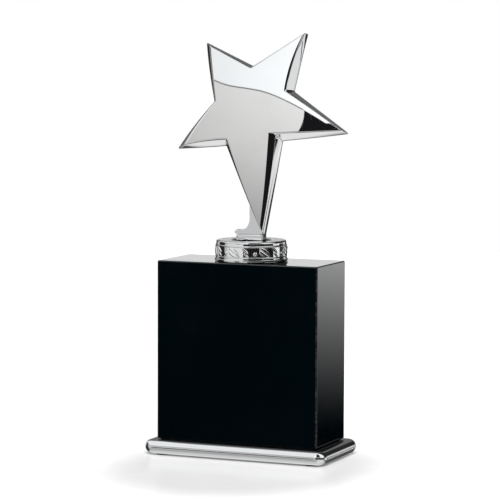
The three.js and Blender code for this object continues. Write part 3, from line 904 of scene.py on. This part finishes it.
# %% Group: dust
dust_tree, dust_in, dust_out, place = new_group(
    "dust specks",
    {"Scale": 900.0, "Share": 0.2},
    {"Specks": "NodeSocketFloat"},
)
cells = add(dust_tree, "ShaderNodeTexVoronoi", Vector=place, Scale=dust_in["Scale"])
small = mapped(dust_tree, cells.outputs["Distance"], 0.10, 0.26, 1.0, 0.0)
chance = add(dust_tree, "ShaderNodeSeparateColor", Color=cells.outputs["Color"]).outputs["Red"]
kept = maths(dust_tree, "LESS_THAN", chance, dust_in["Share"])
plug(dust_tree, dust_out["Specks"], maths(dust_tree, "MULTIPLY", small, kept))
print("group", dust_tree.name, "puts a speck in the chosen share of its cells")

# %% [markdown]
# ## Edge wear
# Hands and cloths reach the edges first, and never evenly. The pieces carry a number that is 1 on
# their edges and 0 elsewhere. The group breaks it up with a fine noise. Pointiness could find the
# edges by itself, but it depends on how dense the mesh is.

# %% Group: edge wear
wear_tree, wear_in, wear_out, place = new_group(
    "edge wear",
    {"Edge": 0.0, "Scale": 800.0, "Detail": 2.0, "Low": 0.4, "High": 0.7},
    {"Wear": "NodeSocketFloat"},
)
broken = noise(wear_tree, place, wear_in["Scale"], wear_in["Detail"])
broken = mapped(wear_tree, broken, wear_in["Low"], wear_in["High"])
plug(wear_tree, wear_out["Wear"], maths(wear_tree, "MULTIPLY", wear_in["Edge"], broken))
print("group", wear_tree.name, "keeps the edges from being even")

# %% [markdown]
# ## New materials
# Every material starts the same way: a Principled surface and the piece's own coordinates. Plain
# values are set on the surface's own sockets, and only what changes over the surface is wired in.


# %% Material starter
def start_material(name, **plain):
    """A material with a Principled surface; returns it, its tree, the surface and coordinates."""
    material = bpy.data.materials.new(name)
    material.use_nodes = True
    tree = material.node_tree
    tree.nodes.clear()
    surface = add(tree, "ShaderNodeBsdfPrincipled", None, **plain)
    output = tree.nodes.new("ShaderNodeOutputMaterial")
    tree.links.new(surface.outputs[0], output.inputs[0])
    place = tree.nodes.new("ShaderNodeTexCoord").outputs["Object"]
    return material, tree, surface, place


def use_group(tree, group, **values):
    """A node that places a shared effect in a material."""
    node = tree.nodes.new("ShaderNodeGroup")
    node.node_tree = group
    for name, value in values.items():
        plug(tree, node.inputs[name], value)
    return node.outputs


def bump(tree, surface, height, distance):
    """A Bump node on the surface's normal; distance is how high a height of 1 stands, in metres."""
    node = add(tree, "ShaderNodeBump", Height=height, Distance=distance, Strength=1.0)
    tree.links.new(node.outputs[0], surface.inputs["Normal"])


def dress(piece, material):
    """Puts one material on the whole piece."""
    piece.data.materials.clear()
    piece.data.materials.append(material)


print("helpers: start_material(), use_group(), bump() and dress()")

# %% [markdown]
# ## Chrome
# Bright chrome over a polished casting is close to a mirror, of a cool grey-white. Full Metallic and a
# very low roughness would give that in two values, but a perfect mirror looks like a drawing of one.
# Real chrome is never quite even: the film scatters a little light, hairlines catch it, edges are
# polished thinner and look a trace warmer, and the casting under the plating ripples by less than a
# thousandth of a millimetre. All of these stay faint, because the eye reads a mirror from its
# reflections. The tray is more satin than the star and the collar.


# %% Chrome finishes
def chrome(name, film_scale, ripple, gloss, mark=None, hollow=None):
    """Mirror chrome: gloss is the clean and the hazed roughness, mark names the edge numbers on
    the mesh and hollow the relief's height."""
    material, tree, surface, place = start_material(name, Metallic=1.0)
    film = use_group(tree, film_tree, Scale=film_scale, Amount=1.0)["Film"]
    hair = use_group(tree, hair_tree, Scale=420.0, Amount=1.0)
    dust = use_group(tree, dust_tree, Scale=1500.0, Share=0.02)["Specks"]
    clean, hazed = (0.905, 0.915, 0.925, 1), (0.865, 0.87, 0.875, 1)
    colour = mixed(tree, film, clean, hazed)
    colour = mixed(tree, maths(tree, "MULTIPLY", hair["Mask"], 0.25), colour, (0.95, 0.95, 0.95, 1))
    rough = mapped(tree, film, 0.0, 1.0, gloss[0], gloss[1], "LINEAR")
    rough = maths(tree, "ADD", rough, maths(tree, "MULTIPLY", hair["Mask"], 0.01))
    if mark:
        edge = add(tree, "ShaderNodeAttribute", {"attribute_name": mark}).outputs["Fac"]
        worn = use_group(tree, wear_tree, Edge=edge, Scale=900.0, Detail=2.0, Low=0.4,
                         High=0.65)["Wear"]
        colour = mixed(tree, maths(tree, "MULTIPLY", worn, 0.3), colour, (0.82, 0.805, 0.78, 1))
        rough = maths(tree, "ADD", rough, maths(tree, "MULTIPLY", worn, 0.012))
    if hollow:
        depth = add(tree, "ShaderNodeAttribute", {"attribute_name": hollow}).outputs["Fac"]
        low = mapped(tree, depth, 0.0, 0.12, 1.0, 0.0)
        tarnish = maths(tree, "MULTIPLY", low, mapped(tree, noise(tree, place, 1400.0), 0.3, 0.7))
        colour = mixed(tree, maths(tree, "MULTIPLY", tarnish, 0.3), colour, (0.55, 0.54, 0.52, 1))
        rough = maths(tree, "ADD", rough, maths(tree, "MULTIPLY", low, 0.02))
    colour = mixed(tree, maths(tree, "MULTIPLY", dust, 0.3), colour, (0.7, 0.69, 0.67, 1))
    rough = maths(tree, "ADD", rough, maths(tree, "MULTIPLY", dust, 0.06))
    plug(tree, surface.inputs["Base Color"], colour)
    plug(tree, surface.inputs["Roughness"], rough)
    waves = noise(tree, place, 28.0, 1.0, 0.4)
    height = maths(tree, "MULTIPLY", waves, ripple)
    height = maths(tree, "ADD", height, maths(tree, "MULTIPLY", hair["Height"], 0.00000002))
    bump(tree, surface, height, 1.0)
    return material


star_chrome = chrome("chrome_star", 46.0, 0.0000006, (0.006, 0.022), mark="edge")
collar_chrome = chrome("chrome_collar", 90.0, 0.0000006, (0.02, 0.05), hollow="relief")
tray_chrome = chrome("chrome_tray", 60.0, 0.0000006, (0.11, 0.14))
dress(star, star_chrome)
dress(collar, collar_chrome)
dress(tray, tray_chrome)
print("chrome finishes:", star_chrome.name, collar_chrome.name, tray_chrome.name)

# %% [markdown]
# ## Black crystal
# Black optical glass lets no light through: what shows is the polish. The body is near black with a
# trace of green-blue, and the reflection grows as the eye looks along the face. Dust and a faint
# wiped film sit on top. On the bevels the polish is a little softer and catches light.

# %% Crystal finish
crystal, tree, surface, place = start_material("black_crystal", Metallic=0.0, IOR=1.52)
film = use_group(tree, film_tree, Scale=24.0, Amount=1.0)["Film"]
hair = use_group(tree, hair_tree, Scale=300.0, Amount=1.0)
dust = use_group(tree, dust_tree, Scale=800.0, Share=0.06)["Specks"]
edge = add(tree, "ShaderNodeAttribute", {"attribute_name": "edge"}).outputs["Fac"]
worn = use_group(tree, wear_tree, Edge=edge, Scale=700.0, Detail=3.0, Low=0.42, High=0.7)["Wear"]
depth_tone = mapped(tree, noise(tree, place, 9.0, 2.0), 0.3, 0.7)
colour = mixed(tree, depth_tone, (0.0002, 0.0013, 0.0019, 1), (0.0004, 0.0019, 0.0026, 1))
colour = mixed(tree, maths(tree, "MULTIPLY", film, 0.5), colour, (0.0012, 0.0022, 0.0028, 1))
colour = mixed(tree, maths(tree, "MULTIPLY", dust, 0.25), colour, (0.02, 0.021, 0.021, 1))
colour = mixed(tree, maths(tree, "MULTIPLY", worn, 0.7), colour, (0.03, 0.033, 0.035, 1))
rough = mapped(tree, film, 0.0, 1.0, 0.015, 0.045, "LINEAR")
rough = maths(tree, "ADD", rough, maths(tree, "MULTIPLY", hair["Mask"], 0.02))
rough = maths(tree, "ADD", rough, maths(tree, "MULTIPLY", worn, 0.12))
plug(tree, surface.inputs["Base Color"], colour)
plug(tree, surface.inputs["Roughness"], rough)
bump(tree, surface, maths(tree, "MULTIPLY", hair["Height"], 0.00000002), 1.0)
dress(block, crystal)
print(crystal.name, "has", len(crystal.node_tree.nodes), "nodes")

# %% [markdown]
# ## Rubber feet
# The pieces kept from the frame are small or hidden, but each gets its own finish. The feet come
# first. Moulded rubber is black, a little dusty, and has a matt stipple from its mould. A bump from a
# fine noise gives the stipple, and the same noise makes the peaks rougher than the hollows.

# %% Rubber
rubber, tree, surface, place = start_material("moulded_rubber", Metallic=0.0, IOR=1.45)
stipple = noise(tree, place, 2600.0, 3.0, 0.6)
bloom = mapped(tree, noise(tree, place, 240.0, 4.0), 0.4, 0.7)
dust = use_group(tree, dust_tree, Scale=1500.0, Share=0.25)["Specks"]
colour = mixed(tree, bloom, (0.012, 0.012, 0.013, 1), (0.028, 0.028, 0.029, 1))
colour = mixed(tree, maths(tree, "MULTIPLY", dust, 0.4), colour, (0.14, 0.135, 0.13, 1))
plug(tree, surface.inputs["Base Color"], colour)
plug(tree, surface.inputs["Roughness"], mapped(tree, stipple, 0.3, 0.7, 0.52, 0.78))
bump(tree, surface, stipple, 0.00004)
print(rubber.name, "is for the feet")

# %% [markdown]
# ## Felt
# Wool felt is pressed, not woven: its fibres lie in all directions. Streaks in three directions stand
# for them, clumps change the tone slowly, and pale lint clings here and there. Sheen gives the soft
# glow of standing fibres at a low angle. A particle system would be truer, but nobody sees the felt
# closer than an arm's length.

# %% Felt
felt, tree, surface, place = start_material("wool_felt", Metallic=0.0, IOR=1.4,
                                            Sheen_Weight=0.5, Sheen_Roughness=0.5)
fibres = None
for degrees in (0.0, 55.0, 110.0):
    direction = add(tree, "ShaderNodeMapping", Vector=place,
                    Rotation=(0.0, 0.0, np.radians(degrees)), Scale=(1.0, 0.08, 1.0)).outputs[0]
    strand = noise(tree, direction, 1500.0, 3.0, 0.6)
    fibres = strand if fibres is None else maths(tree, "MAXIMUM", fibres, strand)
clumps = noise(tree, place, 160.0, 4.0)
lint = use_group(tree, dust_tree, Scale=420.0, Share=0.08)["Specks"]
colour = mixed(tree, mapped(tree, fibres, 0.45, 0.75), (0.006, 0.006, 0.007, 1),
               (0.035, 0.035, 0.037, 1))
colour = mixed(tree, mapped(tree, clumps, 0.4, 0.7, 0.0, 0.3), colour, (0.02, 0.019, 0.019, 1))
colour = mixed(tree, maths(tree, "MULTIPLY", lint, 0.5), colour, (0.2, 0.19, 0.18, 1))
plug(tree, surface.inputs["Base Color"], colour)
plug(tree, surface.inputs["Roughness"], mapped(tree, clumps, 0.3, 0.7, 0.85, 1.0))
bump(tree, surface, fibres, 0.00015)
print(felt.name, "is for the sheet under the tray")

# %% [markdown]
# ## Foam sheet
# The pads between metal and crystal are cut from thin closed-cell foam. Small round cells come from a
# Voronoi pattern, and its distance is both the colour and the relief.

# %% Foam sheet
foam, tree, surface, place = start_material("foam_sheet", Metallic=0.0, IOR=1.4)
pores = add(tree, "ShaderNodeTexVoronoi", Vector=place, Scale=1800.0).outputs["Distance"]
tone = noise(tree, place, 120.0, 3.0)
colour = mixed(tree, mapped(tree, pores, 0.1, 0.5), (0.006, 0.006, 0.007, 1),
               (0.022, 0.022, 0.024, 1))
colour = mixed(tree, mapped(tree, tone, 0.4, 0.7, 0.0, 0.5), colour, (0.03, 0.03, 0.031, 1))
plug(tree, surface.inputs["Base Color"], colour)
plug(tree, surface.inputs["Roughness"], mapped(tree, pores, 0.0, 0.6, 0.9, 0.7))
bump(tree, surface, pores, 0.0001)
print(foam.name, "is for the two thin pads")

# %% [markdown]
# ## Zinc-plated steel
# Bright zinc is a metal with a slight rainbow bloom, between blue and straw. Its surface is finely
# crystalline, so it is rougher than chrome. The rod, the pin, the washers and the nut share it.

# %% Zinc-plated steel
steel, tree, surface, place = start_material("zinc_steel", Metallic=1.0)
bloom = noise(tree, place, 180.0, 3.0)
crystals = noise(tree, place, 2600.0, 2.0)
hair = use_group(tree, hair_tree, Scale=900.0, Amount=1.0)
film = use_group(tree, film_tree, Scale=220.0, Amount=1.0)["Film"]
colour = mixed(tree, mapped(tree, bloom, 0.35, 0.65), (0.56, 0.58, 0.63, 1), (0.66, 0.63, 0.54, 1))
colour = mixed(tree, maths(tree, "MULTIPLY", film, 0.6), colour, (0.34, 0.33, 0.32, 1))
rough = mapped(tree, crystals, 0.3, 0.7, 0.24, 0.42)
rough = maths(tree, "ADD", rough, maths(tree, "MULTIPLY", hair["Mask"], 0.08))
plug(tree, surface.inputs["Base Color"], colour)
plug(tree, surface.inputs["Roughness"], rough)
bump(tree, surface, maths(tree, "ADD", crystals, hair["Height"]), 0.000006)
print(steel.name, "is for the fasteners")

# %% [markdown]
# ## Dressing the kept nodes
# These twelve nodes keep the meshes of the CAD model. A table of names and finishes says what each is
# made of, and one short loop puts it on.

# %% Dress the kept nodes
kept_finishes = {
    "foot_front_left": rubber, "foot_front_right": rubber,
    "foot_back_left": rubber, "foot_back_right": rubber,
    "base_felt": felt, "tray_pad": foam, "collar_gasket": foam,
    "tie_rod": steel, "locating_pin": steel, "flat_washer": steel,
    "spring_washer": steel, "jam_nut": steel,
}
for name, finish in kept_finishes.items():
    dress(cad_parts[name], finish)
print("kept nodes dressed:", len(kept_finishes))

# %% [markdown]
# ## The white sweep
# The award stands on glossy white acrylic, which mirrors its foot softly. Near the award the acrylic
# is lit from above only, so that it darkens under the tray and keeps the shadow. Further away a
# painted glow makes it brighter: emission in its material that grows with the distance from the
# award. There it melts into the background, and its far edge is lost.
# Polished metal would mirror the whole floor, and its edges would lose their dark lines, so the
# floor is kept out of the metal's reflections. Black and white cards take its place there.

# %% Floor
FLOOR_RADIUS = 1.35
FLOOR_SIDES = 96
# Strength of the painted glow: emission on the floor away from the award.
PAINTED_GLOW = 0.42
floor_turns = np.linspace(0, 2 * np.pi, FLOOR_SIDES + 1)[:-1]
floor_points = FLOOR_RADIUS * np.stack([np.cos(floor_turns), np.sin(floor_turns), 0 * floor_turns],
                                       axis=-1)
floor_mesh = bpy.data.meshes.new("floor")
floor_mesh.from_pydata(floor_points.tolist(), [], [list(range(FLOOR_SIDES))])
floor = bpy.data.objects.new("floor", floor_mesh)
bpy.context.scene.collection.objects.link(floor)
floor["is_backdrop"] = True
floor.visible_glossy = False
acrylic, tree, surface, place = start_material("white_acrylic", Metallic=0.0, IOR=1.45)
speckle = noise(tree, place, 40.0, 3.0)
colour = mixed(tree, speckle, (0.92, 0.92, 0.92, 1), (0.94, 0.94, 0.94, 1))
plug(tree, surface.inputs["Base Color"], colour)
plug(tree, surface.inputs["Roughness"], mapped(tree, speckle, 0.0, 1.0, 0.2, 0.24))
# Painted glow: the floor's emission is 0 inside an oval round the award and rises to full strength
# further out, a painted pool of light on the floor.
oval = add(tree, "ShaderNodeMapping", Vector=place, Location=(-0.18, 0.52, 0.0),
           Scale=(14.0, 11.5, 1.0)).outputs[0]
away = add(tree, "ShaderNodeVectorMath", {"operation": "LENGTH"}, _0=oval).outputs["Value"]
painted_glow = mapped(tree, away, 0.75, 1.5, 0.0, PAINTED_GLOW)
plug(tree, surface.inputs["Emission Color"], mixed(tree, painted_glow, (0, 0, 0, 1), (1, 1, 1, 1)))
surface.inputs["Emission Strength"].default_value = 1.0
dress(floor, acrylic)
print("floor radius", FLOOR_RADIUS, "m")

# %% [markdown]
# ## The room that the metal sees
# A polished thing has hardly any colour of its own: it is a picture of the room. Whoever lights
# metal stands white sheets and black cards round it, so that each edge gets its line. Here the world does
# that job. It works out, from the direction of a reflected ray, which card lies there. Turn is
# measured from the front towards the right, and rise from the horizon, both in degrees. The camera
# itself sees plain white, and soft light comes evenly from everywhere.

# %% Turn and rise of a ray
scene = bpy.context.scene
world = bpy.data.worlds.new("studio")
scene.world = world
world.use_nodes = True
room = world.node_tree
room.nodes.clear()
heading = add(room, "ShaderNodeTexCoord").outputs["Generated"]
parts = add(room, "ShaderNodeSeparateXYZ", Vector=heading).outputs
ray_turn = maths(room, "ARCTAN2", parts["X"], maths(room, "MULTIPLY", parts["Y"], -1.0))
ray_turn = maths(room, "DEGREES", ray_turn)
behind = maths(room, "MULTIPLY", maths(room, "LESS_THAN", ray_turn, -125.0), 360.0)
ray_turn = maths(room, "ADD", ray_turn, behind)
ray_rise = maths(room, "DEGREES", maths(room, "ARCSINE", parts["Z"]))
print("turn runs from -125 to 235 degrees, with 203 straight away from the camera")

# %% [markdown]
# ## Cards
# A card is a patch of the room between two turns and two rises. Its borders are soft, because a real
# sheet of paper is never sharp in a polished curve. Cards could be real planes round the award, but
# they would block the light and show in the background. Here they are a mask and a tone.

# %% Cards
def between(value, low, high, soft):
    """1 between low and high and 0 outside, with soft borders."""
    rising = mapped(room, value, low - soft / 2, low + soft / 2) if low is not None else 1.0
    falling = mapped(room, value, high - soft / 2, high + soft / 2, 1.0, 0.0) \
        if high is not None else 1.0
    return maths(room, "MULTIPLY", rising, falling)


def above(line, soft):
    """1 where the ray rises above a line that is itself a value, and 0 below it."""
    return mapped(room, maths(room, "SUBTRACT", ray_rise, line), -soft / 2, soft / 2)


def card(seen, turn_from, turn_to, rise_from, rise_to, tone, soft_turn=3.0, soft_rise=1.0):
    """The room with one more card in front of it: tone (a grey or a colour) inside its borders."""
    mask = maths(room, "MULTIPLY", between(ray_turn, turn_from, turn_to, soft_turn),
                 between(ray_rise, rise_from, rise_to, soft_rise))
    colour = tone if isinstance(tone, (tuple, bpy.types.NodeSocket)) else (tone, tone, tone, 1)
    return mixed(room, mask, seen, colour)


print("helpers: between(), above() and card()")

# %% [markdown]
# ## The front of the room
# The face of the star looks forward and a little up, and it mirrors the bright ceiling above and a grey
# wall below. They meet along a skyline, which sinks towards the right. The wall darkens downwards, and
# a thin dark joint runs along the skyline. Below it all lies the floor, mid grey.

# %% The front of the room


def soft_above(value, width):
    """The value where it is above 0, and 0 below, joined by a curve: (v + sqrt(v^2 + w^2)) / 2."""
    square = maths(room, "ADD", maths(room, "MULTIPLY", value, value), width * width)
    return maths(room, "MULTIPLY", maths(room, "ADD", value, maths(room, "SQRT", square)), 0.5)


HIGHEST = 18.68
past = maths(room, "MINIMUM", soft_above(maths(room, "ADD", ray_turn, 0.6), 1.6), 8.0)
sinking = maths(room, "ADD", maths(room, "MULTIPLY", past, 0.14),
                maths(room, "MULTIPLY", maths(room, "MULTIPLY", past, past), 0.0085))
short = maths(room, "MINIMUM", soft_above(maths(room, "SUBTRACT", -5.1, ray_turn), 0.8), 3.0)
rising = maths(room, "ADD", maths(room, "MULTIPLY", short, 0.12), HIGHEST)
skyline = maths(room, "SUBTRACT", rising, sinking)
print("the skyline is highest at", HIGHEST, "degrees and sinks to the right")

# %% [markdown]
# ## Tones of wall, ceiling and floor
# A wall that is lit from above is lighter at its top. Straight ramps over the rise give that, and
# a second ramp over the turn makes the right side brighter. Tones are values, so they have to be made
# into colours, each with a slight cast: the wall is a little warmer than the ceiling.


# %% Tones
def grey(tone, red=1.0, green=1.0, blue=1.0):
    """A tone that is a value, as a colour with a slight cast."""
    return add(room, "ShaderNodeCombineColor", Red=maths(room, "MULTIPLY", tone, red),
               Green=maths(room, "MULTIPLY", tone, green),
               Blue=maths(room, "MULTIPLY", tone, blue)).outputs[0]


across = mapped(room, ray_turn, -10.0, 4.5, 0.83, 1.07, "LINEAR")
wall_tone = maths(room, "ADD", mapped(room, ray_rise, 11.2, 15.6, 0.39, 0.71, "LINEAR"),
                  mapped(room, ray_rise, 15.6, 18.6, 0.0, 0.11, "LINEAR"))
wall_tone = maths(room, "MULTIPLY", wall_tone, across)
low_tone = mapped(room, ray_rise, 2.0, 10.5, 0.52, 0.0)
wall_tone = maths(room, "MAXIMUM", wall_tone, low_tone)
ceiling = grey(maths(room, "MULTIPLY", across, 1.05), 0.985, 1.0, 1.005)
seen = mixed(room, above(skyline, 0.05), grey(wall_tone, 1.01, 0.995, 0.98), ceiling)

line_distance = maths(room, "ABSOLUTE", maths(room, "SUBTRACT", ray_rise, skyline))
joint = mapped(room, line_distance, 0.015, 0.06, 0.8, 0.0)
joint = maths(room, "MULTIPLY", joint, between(ray_turn, -12.0, 4.6, 0.5))
seen = mixed(room, joint, seen, (0.02, 0.02, 0.025, 1))

near_floor = mapped(room, ray_rise, -26.0, -5.0, 0.38, 0.50)
deep_floor = mapped(room, ray_rise, -62.0, -30.0, 0.64, 0.38)
floor_tone = maths(room, "MAXIMUM", near_floor, deep_floor)
seen = mixed(room, between(ray_rise, None, -5.0, 3.0), seen, grey(floor_tone))
print("the room has", len(room.nodes), "nodes so far")

# %% [markdown]
# ## The black panel
# The dark patch on the star's right arm, and the black stretch of the collar, are one tall black
# panel. It starts a few degrees to the right of the front and reaches round to the right side, and the
# camera stands before it. Its left border leans and bends like the border of a hanging cloth: a square
# curve at the top, and a straight slope below.

# %% Black panel
seen = card(seen, -62.0, -2.0, -3.7, 3.0, 0.82)
seen = card(seen, -4.0, 100.0, -16.0, -3.7, 0.56)
seen = card(seen, 10.0, 110.0, -18.0, -5.3, 0.01, 3.0, 0.4)
down = maths(room, "SUBTRACT", 17.5, ray_rise)
bulge = maths(room, "MINIMUM", maths(room, "MAXIMUM", down, 0.0), 1.3)
bulge = maths(room, "MULTIPLY", maths(room, "MULTIPLY", bulge, bulge), 0.55)
slope = maths(room, "MULTIPLY", maths(room, "MAXIMUM", maths(room, "SUBTRACT", down, 1.3), 0.0), 0.4)
left_border = maths(room, "SUBTRACT", 4.65, maths(room, "ADD", bulge, slope))
panel = mapped(room, maths(room, "SUBTRACT", ray_turn, left_border), -0.05, 0.05)
for inside_of_panel in (
    between(ray_turn, None, 100.0, 2.0),
    between(ray_rise, -3.7, None, 0.3),
    maths(room, "SUBTRACT", 1.0, above(skyline, 0.05)),
):
    panel = maths(room, "MULTIPLY", panel, inside_of_panel)
seen = mixed(room, panel, seen, (0.010, 0.009, 0.010, 1))
print("the black panel is in place")

# %% [markdown]
# ## Cards round the award
# Each line of the tables below is a card: turn from and to, rise from and to, tone, and how soft its
# borders are to the sides and up and down. They are laid one over the other, so the order matters.
# The first table is the left, the front and the right of the room. Each remark says which part of the
# award needs the card. To find a card's place, follow a ray from the camera to that part, mirror it in
# the surface, and read off where it goes.


# %% Cards to the left, in front and to the right
def lay_cards(seen, rows):
    """The room after all cards of a table have been laid over it, one after the other."""
    for row in rows:
        seen = card(seen, *row)
    return seen


low_back = grey(mapped(room, ray_rise, -46.0, -18.0, 0.62, 0.10), 1.0, 1.0, 1.02)
side_cards = [
    (-106.0, -74.0, -16.0, 26.0, 0.02, 3.0, 6.0),  # dark line at the collar's left end
    (-130.0, -62.0, -45.0, -6.0, 0.03, 6.0),  # lower part of the tray's left end
    (-31.0, -15.0, -10.8, -4.7, 0.0, 1.0, 0.3),  # keeps the front of the block black
    (45.0, 100.0, -4.8, -3.0, 0.01, 6.0),  # foot of the black panel, for the collar
    (12.0, 62.0, 21.0, 80.0, 0.02, 4.0, 4.0),  # black patch on the tray's front right corner
    (85.0, 176.0, 2.0, 80.0, 0.02),  # upper half of the tray's right side
    (66.0, 112.0, 9.0, 80.0, 0.95, 4.0, 4.0),  # white line beside that patch
    (20.0, 112.0, -80.0, -12.0, 0.72, 6.0, 4.0),  # lower half of the same corner
    (100.0, 152.0, -16.0, 2.0, 0.02),  # dark line at the collar's right end
    (100.0, 128.0, -3.9, -0.8, 1.0, 2.0, 0.4),  # white patch on the collar
    (116.0, 168.5, -16.0, -4.4, 0.78, 2.0),  # right walls of the leg and the upper right arm
    (120.0, 178.0, -85.0, -16.0, low_back),  # the star's back, from behind on the left
    (156.5, 161.5, -85.0, -16.0, 0.03, 3.0),  # lower half of the tray's right side
]
seen = lay_cards(seen, side_cards)
print("cards at the sides:", len(side_cards))

# %% [markdown]
# ## Cards behind the award
# Behind the award a low black card gives every back edge its dark outline. Without it the chrome
# would melt into the white. Right above it lie two narrow strips, a grey one and over it a white one:
# the collar's top mirrors the grey strip and the block's top the white one. The block's right side
# mirrors a card that fades downwards, which makes the side fade too.

# %% Cards behind
behind_low = grey(mapped(room, ray_rise, -44.0, -25.0, 0.82, 0.22), 1.0, 0.995, 0.985)
side_fade = mapped(room, ray_rise, -9.3, -5.3, 0.0, 1.0, "LINEAR")
side_fade = maths(room, "MULTIPLY", maths(room, "POWER", side_fade, 2.0), 1.8)
back_cards = [
    (168.5, 173.0, -16.0, -4.4, 0.04, 2.0),  # outline of the right walls
    (172.0, 240.0, -24.0, 3.6, 0.03, 1.0, 1.2),  # outline of all back edges
    (172.0, 235.0, -75.0, -24.0, behind_low, 3.0, 3.0),  # undersides of the two side arms
    (200.2, 204.2, -33.0, -22.0, (0.09, 0.078, 0.072, 1), 1.5, 4.0),  # tip of the left arm
    (174.0, 240.0, 3.6, 80.0, 0.14, 1.0, 0.3),  # upper walls of the arms
    (196.0, 206.5, 3.6, 5.06, 0.42, 1.0, 0.16),  # top of the collar
    (200.6, 206.5, 5.06, 6.3, 1.1, 0.6, 0.16),  # top of the block
    (157.4, 160.4, -14.0, -5.0, grey(side_fade), 0.6, 0.3),  # right side of the block
]
seen = lay_cards(seen, back_cards)
print("cards behind:", len(back_cards))

# %% [markdown]
# ## Even light
# Only mirror rays see the room of cards. Everything that is lit by scattered light, such as the floor
# and the felt, gets one even grey. The camera sees plain white behind the award.

# %% Even light for everything else
path = add(room, "ShaderNodeLightPath").outputs
glossy = path["Is Glossy Ray"]
EVEN_LIGHT = (0.43, 0.43, 0.43, 1)
plain = mixed(room, glossy, EVEN_LIGHT, seen)
shown = mixed(room, path["Is Camera Ray"], plain, (1.0, 1.0, 1.0, 1))
background = add(room, "ShaderNodeBackground", Color=shown, Strength=1.0)
world_output = room.nodes.new("ShaderNodeOutputWorld")
room.links.new(background.outputs[0], world_output.inputs[0])
print("the room has", len(room.nodes), "nodes")

# %% [markdown]
# ## The soft lamp
# One large soft light from the front right throws the faint shadow behind the award. A sun lamp with a
# wide angle is as soft as a big softbox and lights the whole floor alike. Mirror rays don't see it.

# %% Soft lamp
lamp_data = bpy.data.lights.new("softbox", "SUN")
LAMP_STRENGTH = 3.95
LAMP_SPREAD = 30
lamp_data.energy = LAMP_STRENGTH
lamp_data.angle = np.radians(LAMP_SPREAD)
lamp = bpy.data.objects.new("softbox", lamp_data)
scene.collection.objects.link(lamp)
lamp.rotation_mode = "QUATERNION"
lamp_turn, lamp_rise = np.radians(23), np.radians(42)
towards_lamp = mathutils.Vector((np.sin(lamp_turn) * np.cos(lamp_rise),
                                 -np.cos(lamp_turn) * np.cos(lamp_rise), np.sin(lamp_rise)))
lamp.rotation_quaternion = towards_lamp.to_track_quat("Z", "Y")
lamp.visible_glossy = False
scene.view_settings.view_transform = "Standard"
print("lamps:", [light.name for light in bpy.data.lights])

# %% [markdown]
# ## Last step: measure
# The visual model has to fill the same box as the solid one.

# %% Sizes and finish
final_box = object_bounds()
change = [
    round(1000 * (new - old), 3)
    for old_corner, new_corner in zip(cad_box, final_box)
    for old, new in zip(old_corner, new_corner)
]
print("change of each side in mm:", change)
